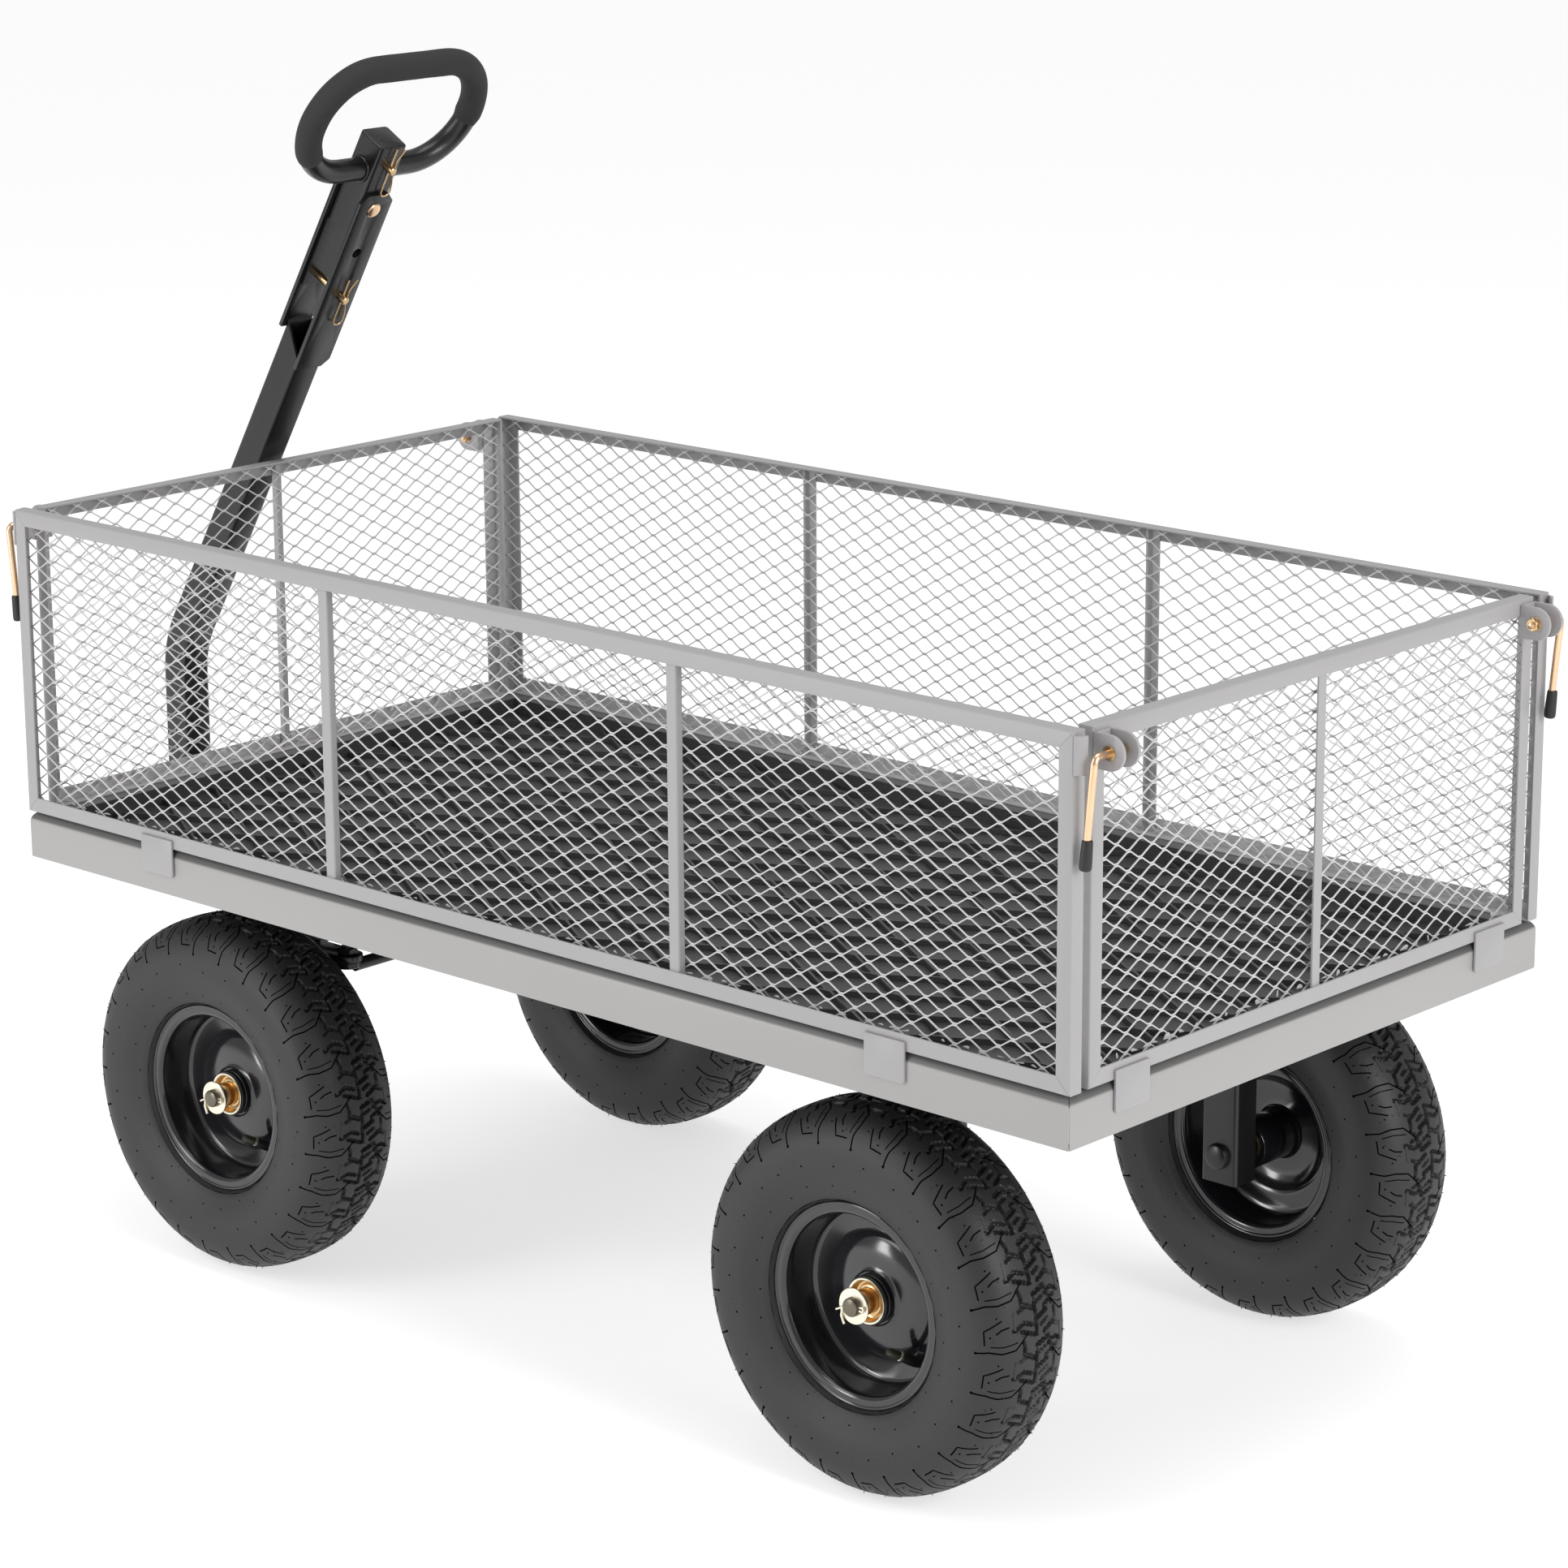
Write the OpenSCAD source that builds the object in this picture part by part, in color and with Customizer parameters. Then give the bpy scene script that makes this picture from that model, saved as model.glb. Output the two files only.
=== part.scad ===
// Steel utility cart: an open mesh bed on four air-filled tyres, with lift-off mesh sides,
// linked front-wheel steering and a pull handle that doubles as a tow hitch.
// The handle is at -X, the ground is z = 0, and left is -Y, as seen by whoever pulls the cart.

/* [Bed] */
// Length of the bed over its skirt rails
bed_length = 1240; // [1100:10:1400]
// Width of the bed over its skirt rails
bed_width = 627; // [600:1:700]
// Height of the skirt's lower edge above the ground
skirt_bottom = 353; // [350:1:400]
// Height of the skirt from its lower edge to its flat top
skirt_height = 44; // [40:1:60]
// Width of the flat top that the side panels stand on
rail_top = 24; // [20:1:32]
// Outer and inner shoulder radius of the formed rail
shoulder = 6; // [4:0.5:8]
// Steel thickness of the rails
rail_sheet = 2; // [1.5:0.1:2.5]
// Depth of the floor ribs' tops below the rail's top
floor_drop = 13; // [12:1:20]
// Thickness of the floor pan
floor_sheet = 1; // [0.8:0.1:2]
// Height of the diamond ribs on the floor pan
rib_height = 4.5; // [2:0.5:6]
// Width of a floor rib
rib_width = 3; // [2:0.5:6]
// Length of a floor diamond, along the bed
rib_long_way = 102; // [80:1:120]
// Width of a floor diamond, across the bed
rib_short_way = 59; // [44:1:70]

/* [Side panels] */
// Height of a side panel
panel_height = 284; // [250:1:320]
// Leg of the steel angle that frames a panel
angle_leg = 14; // [12:1:18]
// Thickness of the steel angle
angle_sheet = 2; // [1.5:0.1:3]
// Face width of an upright bar
bar_face = 11; // [8:1:16]
// Distance from a panel's outer face to its mesh, which the bars reach
mesh_depth = 9; // [7:0.5:10]
// Distance between the two upright bars of a long panel
bar_spacing = 413; // [300:1:480]
// Open corner between a long panel's end flange and the end panel
corner_gap = 9; // [5:0.5:12]
// Long way of a mesh diamond
mesh_long_way = 29.3; // [25:0.1:40]
// Short way of a mesh diamond
mesh_short_way = 16.1; // [14:0.1:24]
// Strand width of the mesh
mesh_strand = 2; // [1.6:0.1:2.4]
// Thickness of the mesh
mesh_thick = 1.6; // [1.4:0.1:2]
// Width of a tab that hangs over the skirt
tab_width = 42; // [30:1:60]
// How far a tab hangs below the panel
tab_drop = 26; // [18:1:34]
// Thickness of a tab
tab_thick = 2.5; // [2:0.1:4]
// Distance between the two tabs of a long panel
long_tab_spacing = 872; // [700:1:940]
// Distance between the two tabs of an end panel
end_tab_spacing = 480; // [400:1:500]

/* [Latches] */
// Distance from an end panel's outer face to the latch pivot
latch_reach = 15.5; // [14:0.5:20]
// Depth of the latch pivot below the panel's top
latch_depth = 18; // [16:0.5:24]
// Radius of the rounded ear
ear_radius = 14; // [12:0.5:16]
// Thickness of the ear plate
ear_thick = 3; // [2:0.5:4]
// Distance between the outer faces of the two ears
ear_span = 20.5; // [18:0.5:26]
// Radius of the lever's bent rod
lever_radius = 3; // [2.5:0.1:3.5]
// Length of the lever below its pivot
lever_length = 88; // [70:1:110]
// Length of the rubber tip
tip_length = 24; // [18:1:30]
// Radius of the half-round catch on the long panel
catch_radius = 8; // [6:0.5:9]

/* [Wheels] */
// Outer radius of the tyre
tyre_radius = 165; // [160:1:165]
// Width of the tyre
tyre_width = 100; // [90:1:100]
// Number of tread blocks round a tyre
tread_blocks = 36; // [24:1:48]
// Depth of the tread grooves
tread_depth = 3.5; // [2:0.5:5]
// Width of the tread grooves
tread_groove = 3; // [2:0.5:5]
// Radius of the rim's flange
flange_radius = 86; // [80:1:90]
// Width over the rim's flanges
rim_width = 72; // [66:1:76]
// Radius of the rim's barrel where the bead sits
barrel_radius = 77; // [72:1:78]
// Steel thickness of the rim
rim_sheet = 2.5; // [2:0.1:3]
// Radius of the hub tube's bore
hub_bore = 17.5; // [16:0.5:19]
// Distance between front and rear axles
wheelbase = 778; // [700:1:800]
// Distance between the centre planes of left and right tyres
track = 526; // [522:1:560]
// Radius of an axle
axle_radius = 8; // [7:0.5:9]

/* [Running gear] */
// Side of the square cross beams
beam_size = 36; // [34:1:38]
// Wall of the square tubes under the bed
tube_wall = 3; // [2.5:0.5:4]
// Side of the two runners under the floor
runner_size = 29; // [26:1:30]
// Wall of the runners
runner_wall = 2.5; // [2:0.5:3]
// Distance between the centres of the runners
runner_spacing = 220; // [160:1:260]
// Distance of a kingpin or rear leg inwards of its tyre's centre plane
kingpin_inset = 68; // [67:1:74]
// Radius of the steering pivots
kingpin_radius = 8; // [7:0.5:9]
// Width of a drop leg along the cart
leg_length = 38; // [34:1:40]
// Width of a drop leg across the cart
leg_width = 30; // [28:1:30]

/* [Steering] */
// Distance of the tongue's pivot in front of the bed
tongue_ahead = 60; // [58:1:75]
// Thickness of the tongue and the steering arms
arm_thick = 6; // [5:0.5:8]
// Length of the arms that the drag link joins
drag_arm = 60; // [50:1:70]
// Length of the arms that the tie rod joins
tie_arm = 70; // [66:1:80]
// Radius of the studs of the drag link and the tie rod
stud_radius = 6; // [5:0.5:7]
// Extra radius of the holes at the two loose ends of the linkage
loose_fit = 0.6; // [0.4:0.1:1]

/* [Handle] */
// Distance of the handle's hinge in front of the tongue's pivot
hinge_ahead = 82; // [78:1:95]
// Height of the handle's hinge above the ground
hinge_height = 265; // [255:1:270]
// Side of the square handle tube
shaft_size = 32; // [28:1:32]
// Wall of the handle tube
shaft_wall = 2.5; // [2:0.1:3]
// Height of the handle's bend
bend_height = 478; // [440:1:520]
// Lean of the upper handle from upright, in degrees
lean = 30.6; // [28:0.1:34]
// Radius of the bend along the tube's middle
bend_radius = 100; // [80:1:130]
// Length of the upper handle from its bend to the grip's rivet
upper_length = 542; // [480:1:600]
// Wall of the hitch bracket
hitch_wall = 4; // [3:0.5:5]
// Half width of the grip loop, on the tube's middle line
loop_half_width = 98; // [85:1:110]
// Half height of the grip loop, on the tube's middle line
loop_half_height = 56; // [50:1:60]
// Radius of the grip loop's steel tube
loop_radius = 9.5; // [8:0.5:11]
// Thickness of the foam sleeve
foam_thick = 3; // [2:0.5:5]

/* [Fits] */
// Radial clearance of a pivot that turns
running = 0.05; // [0.02:0.01:0.1]
// Gap between parts that move past each other
gap = 0.3; // [0.2:0.05:0.5]

/* [Hidden] */
$fn = 48;
eps = 0.01;
FRONT = -1;
REAR = 1;
LEFT = -1;
RIGHT = 1;

// bed
rail_height = skirt_bottom + skirt_height;
floor_top = rail_height - floor_drop;
floor_bottom = floor_top - rib_height - floor_sheet;
rib_bond = 9;
flange_width = 12;
hem_width = 10;
mitre_gap = 0.1;
strap_width = 40;
half_length = bed_length / 2;
half_width = bed_width / 2;

// panels stand on the rails and overhang them a little, so their tabs clear the skirt
panel_overhang = 0.5;
panel_lift = 0.2;
panel_bottom = rail_height + panel_lift;
panel_top = panel_bottom + panel_height;
tab_weld = 8;
tab_corner = 3;
end_panel_width = 2 * (half_width + panel_overhang - angle_leg - corner_gap);
mesh_edge = 3;
layer_gap = 0.1;

// latches
latch_x = half_length + panel_overhang + latch_reach;
latch_z = panel_top - latch_depth;
ear_y = end_panel_width / 2;
lever_y = half_width + panel_overhang - lever_radius - 2.5;
catch_y = half_width + panel_overhang - catch_radius;
catch_height = 30;
cam_radius = 5;
cam_reach = latch_reach - catch_radius - gap;
nut_thick = 5;
tip_wall = 2;

// wheels
axle_x = wheelbase / 2;
wheel_y = track / 2;
kingpin_y = wheel_y - kingpin_inset;
axle_z = tyre_radius;
hub_inner = 45;
hub_outer = 12;
dome_radius = 52;
dome_depth = 3;
boot_radius = 20.8;
boot_wall = 2.3;
cup_radius = 19.4;
cup_depth = 10;
cup_sheet = 1.2;
keeper_radius = 15.4;
keeper_depth = 23;
keeper_thick = 2;
flange_sheet = 3;
tyre_wall = 8;
valve_radius = 61.5;
valve_turn = 132;
valve_lean = 38;

// running gear, hung under the rails' floor flange
runner_bottom = floor_bottom - rail_sheet - runner_size;
beam_bottom = runner_bottom - beam_size;
leg_bottom = axle_z - 25;
bolt_radius = 5;
head_thick = 7;
bolt_flats = 16;
pivot_flats = 24;

// steering: every arm lies in one level, and both links hang under it
arm_bottom = beam_bottom - 25;
arm_top = arm_bottom + arm_thick;
link_top = arm_bottom - gap;
link_thick = 6;
link_radius = 6;
eye_radius = 12;
arm_radius = 14;
tongue_x = -half_length - tongue_ahead;
tongue_width = 50;

// handle
hinge_x = tongue_x - hinge_ahead;
hinge_radius = 6;
cheek_radius = 20;
cheek_thick = 4;
cheek_gap = shaft_size / 2 + 0.75;
shaft_foot = 16;
rivet_x = hinge_x + upper_length * sin(lean);
rivet_z = bend_height + upper_length * cos(lean);
hitch_half = shaft_size / 2 + hitch_wall;
hitch_width = 40;
hitch_top = 17;
hitch_rear_foot = -183;
hitch_front_foot = -158;
shaft_front_end = -150;
shaft_rear_end = -178;
fork_end = -108;
fork_split = -25;
grip_top = 68;
spare_hole = -49;
lock_hole = -98;
tow_hole = 47;
spare_radius = 5;
pin_radius = 4;
rivet_radius = 6;
clip_radius = 1.2;
loop_centre = 91;

// the row's origin is midway along the whole cart, which reaches further in front
front_reach = hinge_x - cheek_radius;
rear_reach = latch_x + ear_radius;
bed_x = -(front_reach + rear_reach) / 2;

steel_gray = "#bebcba";
panel_gray = "#c8c7cc";
floor_gray = "#3c3c40";
satin_black = "#1c1c1e";
foam_black = "#29292b";
zinc_gold = "#c9a860";
copper_gold = "#c48a5a";
tyre_black = "#2a2a2b";
rim_gray = "#3a3b3f";

// ---- shared shapes ----

// Moves a shape from the bed's middle to the cart's middle
module on_bed() translate([bed_x, 0, 0]) children();

// Points along an arc
function arc(centre, radius, from, to, steps = 6) =
    [for (i = [0 : steps]) let (a = from + (to - from) * i / steps)
        centre + radius * [cos(a), sin(a)]];

// A bar with round ends between two points, in plan
module strap(from, to, radius) {
    along = to - from;
    translate(from) {
        circle(radius);
        rotate(atan2(along.y, along.x))
            translate([0, -radius])
                square([norm(along), 2 * radius]);
    }
    translate(to) circle(radius);
}

// A hexagon prism with the given distance across its flats
module hex(flats, height) cylinder(h = height, r = flats / sqrt(3), $fn = 6);

// A hollow box section along X
module box_tube(length, width, height, wall)
    difference() {
        cube([length, width, height], center = true);
        cube([length + 1, width - 2 * wall, height - 2 * wall], center = true);
    }

// One of the two strand directions of an expanded sheet: a plate with slanting slots
module slotted_layer(size, long_way, short_way, strand, direction) {
    window = size - 2 * [mesh_edge, mesh_edge];
    slope = direction * long_way / short_way;
    slot = long_way - strand * norm([long_way, short_way]) / short_way;
    rise = window.y / 2 + 1;
    count = ceil((window.x + window.y * abs(slope)) / long_way / 2);
    difference() {
        square(size, center = true);
        intersection() {
            square(window, center = true);
            for (i = [-count : count])
                translate([(i + 0.5) * long_way, 0])
                    polygon([
                        [-slot / 2 - slope * rise, -rise], [slot / 2 - slope * rise, -rise],
                        [slot / 2 + slope * rise, rise], [-slot / 2 + slope * rise, rise]
                    ]);
        }
    }
}

// Expanded metal: its two strand directions lie a hair apart and join in a solid edge
module expanded_sheet(size, long_way, short_way, strand, thick) {
    layer = (thick - layer_gap) / 2;
    linear_extrude(layer) slotted_layer(size, long_way, short_way, strand, 1);
    translate([0, 0, thick - layer])
        linear_extrude(layer) slotted_layer(size, long_way, short_way, strand, -1);
    linear_extrude(thick)
        difference() {
            square(size, center = true);
            square(size - 2 * [mesh_edge, mesh_edge], center = true);
        }
}

// ---- bed ----

// Section of a formed skirt rail: x runs inwards from its outer face, y is the height
module rail_section() {
    outer = rail_sheet;
    inner_radius = shoulder - rail_sheet;
    polygon(concat(
        [[hem_width, skirt_bottom], [0, skirt_bottom]],
        arc([shoulder, rail_height - shoulder], shoulder, 180, 90),
        arc([rail_top - shoulder, rail_height - shoulder], shoulder, 90, 0),
        [[rail_top, floor_bottom], [rail_top + flange_width, floor_bottom],
         [rail_top + flange_width, floor_bottom - rail_sheet],
         [rail_top - outer, floor_bottom - rail_sheet]],
        arc([rail_top - shoulder, rail_height - shoulder], inner_radius, 0, 90),
        arc([shoulder, rail_height - shoulder], inner_radius, 90, 180),
        [[outer, skirt_bottom + rail_sheet], [hem_width, skirt_bottom + rail_sheet]]
    ));
}

// A rail along X whose outer face is y = 0, mitred at both ends
module mitred_rail(length) {
    reach = rail_top + flange_width + 5;
    end = length / 2 - mitre_gap;
    intersection() {
        translate([-length / 2, 0, 0])
            rotate([90, 0, 90])
                linear_extrude(length) rail_section();
        translate([0, 0, skirt_bottom - 1])
            linear_extrude(skirt_height + 2)
                polygon([[-end, 0], [end, 0], [end - reach, reach], [reach - end, reach]]);
    }
}

module long_rail(side)
    color(steel_gray)
        rotate(side == LEFT ? 0 : 180)
            translate([0, -half_width, 0])
                mitred_rail(bed_length);

module end_rail(end)
    color(steel_gray)
        rotate(end == FRONT ? -90 : 90)
            translate([0, -half_length, 0])
                mitred_rail(bed_width);

// Window between the ribs of one floor diamond
module floor_window() {
    reach = rib_long_way / 2 - rib_width;
    half = (rib_short_way - rib_width) / 2;
    polygon([[-reach, 0], [-rib_bond / 2, -half], [rib_bond / 2, -half],
             [reach, 0], [rib_bond / 2, half], [-rib_bond / 2, half]]);
}

// Steel pan on the rails' flanges, with a diamond grid of upright ribs
module bed_floor() {
    length = bed_length - 2 * rail_top - gap;
    width = bed_width - 2 * rail_top - gap;
    columns = ceil(length / rib_long_way / 2);
    rows = ceil(width / rib_short_way / 2);
    color(floor_gray) {
        translate([-length / 2, -width / 2, floor_bottom])
            cube([length, width, floor_sheet]);
        translate([0, 0, floor_bottom + floor_sheet - eps])
            linear_extrude(rib_height + eps)
                difference() {
                    square([length, width], center = true);
                    intersection() {
                        square([length - 2 * rib_width, width - 2 * rib_width], center = true);
                        for (i = [-columns : columns], j = [-rows : rows], half = [0, 0.5])
                            translate([(i + half) * rib_long_way, (j + half) * rib_short_way])
                                floor_window();
                    }
                }
    }
}

// Two square tubes from skirt to skirt under the floor
module bed_runners()
    color(satin_black)
        for (side = [LEFT, RIGHT])
            translate([0, side * runner_spacing / 2, runner_bottom + runner_size / 2])
                difference() {
                    box_tube(bed_length - 2 * (hem_width + gap), runner_size, runner_size, runner_wall);
                    for (end = [FRONT, REAR])
                        translate([end * axle_x, 0, -runner_size])
                            cylinder(h = runner_size, r = bolt_radius + gap);
                }

// Flat straps across the runners, between the rails' flanges, that carry the floor pan
module floor_straps()
    color(satin_black)
        for (x = [-1, 0, 1] * bed_length / 3)
            translate([x - strap_width / 2, rail_top + flange_width - half_width,
                       floor_bottom - rail_sheet])
                cube([strap_width, bed_width - 2 * (rail_top + flange_width), rail_sheet]);

// Bolt holes of a cross beam, where it is bolted to the runners
module beam_bolt_holes()
    for (side = [LEFT, RIGHT])
        translate([0, side * runner_spacing / 2, beam_bottom - 1])
            cylinder(h = beam_size + 2, r = bolt_radius + gap);

module cross_beam(half_span)
    translate([0, 0, beam_bottom + beam_size / 2])
        rotate(90)
            box_tube(2 * half_span, beam_size, beam_size, tube_wall);

// The front beam ends in bosses that the kingpins turn in
module front_beam()
    color(satin_black)
        translate([-axle_x, 0, 0])
            difference() {
                union() {
                    difference() {
                        cross_beam(kingpin_y);
                        beam_bolt_holes();
                    }
                    for (side = [LEFT, RIGHT])
                        translate([0, side * kingpin_y, beam_bottom])
                            cylinder(h = beam_size, r = beam_size / 2);
                }
                for (side = [LEFT, RIGHT])
                    translate([0, side * kingpin_y, beam_bottom - 1])
                        cylinder(h = beam_size + 2, r = kingpin_radius + running);
            }

module rear_beam()
    color(satin_black)
        translate([axle_x, 0, 0])
            difference() {
                cross_beam(kingpin_y + leg_width / 2);
                beam_bolt_holes();
            }

// A drop leg of box section, with the hole for its axle, below the height given
module drop_leg(top)
    difference() {
        translate([-leg_length / 2, -leg_width / 2, leg_bottom])
            cube([leg_length, leg_width, top - leg_bottom]);
        translate([tube_wall - leg_length / 2, tube_wall - leg_width / 2, leg_bottom - 1])
            cube([leg_length - 2 * tube_wall, leg_width - 2 * tube_wall, 2 * (axle_z - leg_bottom)]);
        translate([0, 0, axle_z])
            rotate([90, 0, 0])
                cylinder(h = leg_width + 2, r = axle_radius + running, center = true);
    }

module rear_legs()
    color(satin_black)
        for (side = [LEFT, RIGHT])
            translate([axle_x, side * kingpin_y, 0])
                drop_leg(beam_bottom);

// Box tube from the front beam to the tongue's pivot, with a pad under the front skirt
module tongue_mount() {
    back = -axle_x - beam_size / 2;
    color(satin_black)
        difference() {
            union() {
                translate([(tongue_x + back) / 2, 0, beam_bottom + beam_size / 2])
                    box_tube(back - tongue_x, tongue_width, beam_size, tube_wall);
                translate([tongue_x, 0, beam_bottom])
                    cylinder(h = beam_size, r = tongue_width / 2);
                translate([-half_length, -tongue_width / 2, beam_bottom + beam_size])
                    cube([rail_top, tongue_width, skirt_bottom - beam_bottom - beam_size]);
            }
            translate([tongue_x, 0, beam_bottom - 1])
                cylinder(h = beam_size + 2, r = kingpin_radius + running);
        }
}

// Bolts that hold the beams to the runners, and the tongue's pivot bolt
module frame_bolts()
    color(zinc_gold) {
        for (end = [FRONT, REAR], side = [LEFT, RIGHT])
            translate([end * axle_x, side * runner_spacing / 2, beam_bottom]) {
                translate([0, 0, -head_thick]) hex(bolt_flats, head_thick);
                translate([0, 0, -eps]) cylinder(h = beam_size + 10, r = bolt_radius);
                translate([0, 0, beam_size + runner_wall]) hex(bolt_flats, head_thick);
            }
        translate([tongue_x, 0, 0]) {
            translate([0, 0, beam_bottom + beam_size]) hex(pivot_flats, head_thick);
            translate([0, 0, arm_bottom - head_thick - 4])
                cylinder(h = beam_bottom + beam_size - arm_bottom + head_thick + 4 + eps, r = kingpin_radius);
            translate([0, 0, arm_bottom - gap - head_thick]) hex(pivot_flats, head_thick);
        }
    }

// ---- wheels ----

// An axle bolt with its head on the leg's inner face; y = 0 is the leg's middle, y the outside
module axle_set() {
    hub_end = kingpin_inset + hub_outer;
    spacer = axle_radius + 3;
    keeper_face = hub_end + keeper_depth + keeper_thick;
    tip = keeper_face + 5.5;
    color(zinc_gold)
        rotate([-90, 0, 0]) {
            translate([0, 0, -leg_width / 2 - head_thick]) hex(pivot_flats, head_thick);
            translate([0, 0, -leg_width / 2 - eps])
                cylinder(h = tip + leg_width / 2 - 2, r = axle_radius);
            translate([0, 0, tip - 2 - 2 * eps])
                cylinder(h = 2, r1 = axle_radius, r2 = axle_radius - 2);
            translate([0, 0, leg_width / 2])
                cylinder(h = kingpin_inset - hub_inner - leg_width / 2 - gap, r = axle_radius + 5);
            translate([0, 0, hub_end + gap])
                cylinder(h = keeper_depth - gap + eps, r = spacer);
            translate([0, 0, hub_end])
                rotate_extrude() polygon([
                    [spacer - eps, cup_depth / 2], [spacer - eps, cup_depth / 2 + cup_sheet + 0.2],
                    [cup_radius - 1.8, cup_depth], [cup_radius, cup_depth],
                    [cup_radius, cup_depth - cup_sheet], [cup_radius - 1.4, cup_depth - cup_sheet]
                ]);
            translate([0, 0, hub_end + keeper_depth])
                cylinder(h = keeper_thick, r = keeper_radius);
            translate([-keeper_radius - 2, 0, keeper_face + clip_radius + 0.4])
                rotate([0, 90, 0])
                    cylinder(h = keeper_radius + axle_radius + 5, r = clip_radius);
        }
}

module axle_front(side)
    translate([-axle_x, side * kingpin_y, axle_z])
        rotate(side == LEFT ? 180 : 0)
            axle_set();

module rear_axles()
    for (side = [LEFT, RIGHT])
        translate([axle_x, side * kingpin_y, axle_z])
            rotate(side == LEFT ? 180 : 0)
                axle_set();

// Half width of the tyre's outer face at a radius, from the bead to its widest place
function wall_width(r, widest, half) = half - 12.5 * pow((widest - r) / (widest - flange_radius), 2);

// A point of the tyre's section between its widest place, at 0 degrees, and its crown, at 90
function crown_point(a, inset) =
    let (widest = (tyre_radius + flange_radius) / 2)
    [widest + (tyre_radius - widest - inset) * pow(sin(a), 2 / 2.6),
     (tyre_width / 2 - inset) * pow(cos(a), 2 / 2.6)];

// Outer or inner outline of one half of the tyre's section, from the bead to the crown
function tyre_half(inset) =
    let (widest = (tyre_radius + flange_radius) / 2, half = tyre_width / 2 - inset, low = flange_radius + 3)
    concat(
        [for (i = [0 : 5]) let (r = low + (widest - low) * i / 6) [r, wall_width(r, widest, half)]],
        [for (i = [0 : 10]) crown_point(9 * i, inset)]
    );

function reversed(list) = [for (i = [len(list) - 1 : -1 : 0]) list[i]];
function flipped(list) = [for (p = list) [p.x, -p.y]];

// Cutter for one groove across the tyre's shoulder, in the plane of the axle
module shoulder_groove()
    rotate([90, 0, 0])
        linear_extrude(tread_groove, center = true)
            polygon(concat(
                [for (a = [22.5 : 9 : 67.5]) crown_point(a, tread_depth)],
                [for (a = [67.5 : -9 : 22.5]) crown_point(a, -2)]
            ));

// Grooves round and across the tread, which part it into blocks
module tread_cutters() {
    step = 360 / tread_blocks;
    middle = tyre_width * 0.13;
    for (side = [-1, 1])
        translate([0, 0, side * middle - tread_groove / 2])
            difference() {
                cylinder(h = tread_groove, r = tyre_radius + 1);
                translate([0, 0, -1])
                    cylinder(h = tread_groove + 2, r = tyre_radius - tread_depth);
            }
    for (i = [0 : tread_blocks - 1])
        rotate((i + 0.25) * step) {
            shoulder_groove();
            rotate(step / 2) {
                mirror([0, 0, 1]) shoulder_groove();
                translate([tyre_radius - tread_depth, 0, 0])
                    rotate([25, 0, 0])
                        translate([0, -tread_groove / 2, -middle])
                            cube([tread_depth + 2, tread_groove, 2 * middle]);
            }
        }
}

// The tyre is a hollow ring, open to the rim between its two beads
module tyre() {
    bead = rim_width / 2 - flange_sheet - running;
    outer = tyre_half(0);
    inner = tyre_half(tyre_wall);
    foot = barrel_radius + running;
    color(tyre_black)
        rotate([-90, 0, 0])
            difference() {
                rotate_extrude($fn = 96)
                    polygon(concat(
                        [[foot, bead - 10], [foot, bead], [flange_radius + 1, bead]],
                        outer, reversed(flipped(outer)),
                        [[flange_radius + 1, -bead], [foot, -bead], [foot, 10 - bead]],
                        flipped(inner), reversed(inner)
                    ));
                tread_cutters();
            }
}

// Pressed steel rim: rolled flanges, a barrel, a domed disc and the hub tube
module rim() {
    flange = rim_width / 2;
    inside = barrel_radius - rim_sheet;
    disc = concat(
        [[inside + eps, dome_depth - 2], [dome_radius + 3, dome_depth - 2]],
        arc([dome_radius - 8, dome_depth - 3], 8, 30, 80, 4),
        [[(dome_radius + hub_bore) / 2, hub_outer - 5], [hub_bore + 4, hub_outer - 3]]
    );
    color(rim_gray)
        rotate([-90, 0, 0])
            rotate_extrude($fn = 96) {
                translate([inside, -flange]) square([rim_sheet, rim_width]);
                for (side = [-1, 1]) {
                    translate([inside, side * (flange - flange_sheet / 2) - flange_sheet / 2])
                        square([flange_radius - inside - 1, flange_sheet]);
                    translate([flange_radius - flange_sheet / 2, side * (flange - flange_sheet / 2)])
                        circle(flange_sheet / 2);
                }
                polygon(concat(disc, reversed([for (p = disc) p - [0, rim_sheet]])));
                translate([hub_bore, -hub_inner]) square([4.5, hub_inner + hub_outer]);
            }
}

// Ball bearings at both ends of the hub, the outer one's rubber boot, and the valve stem
module wheel_fittings() {
    race = 12;
    color(satin_black)
        rotate([-90, 0, 0]) {
            for (z = [-hub_inner, hub_outer - race])
                translate([0, 0, z])
                    difference() {
                        cylinder(h = race, r = hub_bore - running);
                        translate([0, 0, -1]) cylinder(h = race + 2, r = axle_radius + running);
                    }
            translate([0, 0, hub_outer + running])
                difference() {
                    cylinder(h = cup_depth - cup_sheet - 2 * running, r = boot_radius);
                    translate([0, 0, 2]) cylinder(h = cup_depth, r = boot_radius - boot_wall);
                    translate([0, 0, -1]) cylinder(h = 4, r = axle_radius + 3 + gap);
                }
            rotate(valve_turn)
                translate([valve_radius, 0, dome_depth - 2 + running]) {
                    cylinder(h = 6, r = 6);
                    translate([0, 0, 6])
                        rotate([0, -valve_lean, 0]) {
                            cylinder(h = 14, r = 4.6);
                            cylinder(h = 29, r = 3.6);
                        }
                }
        }
}

module at_wheel(end, side)
    translate([end * axle_x, side * wheel_y, axle_z])
        rotate(side == LEFT ? 180 : 0)
            children();

// ---- side panels ----

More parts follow.
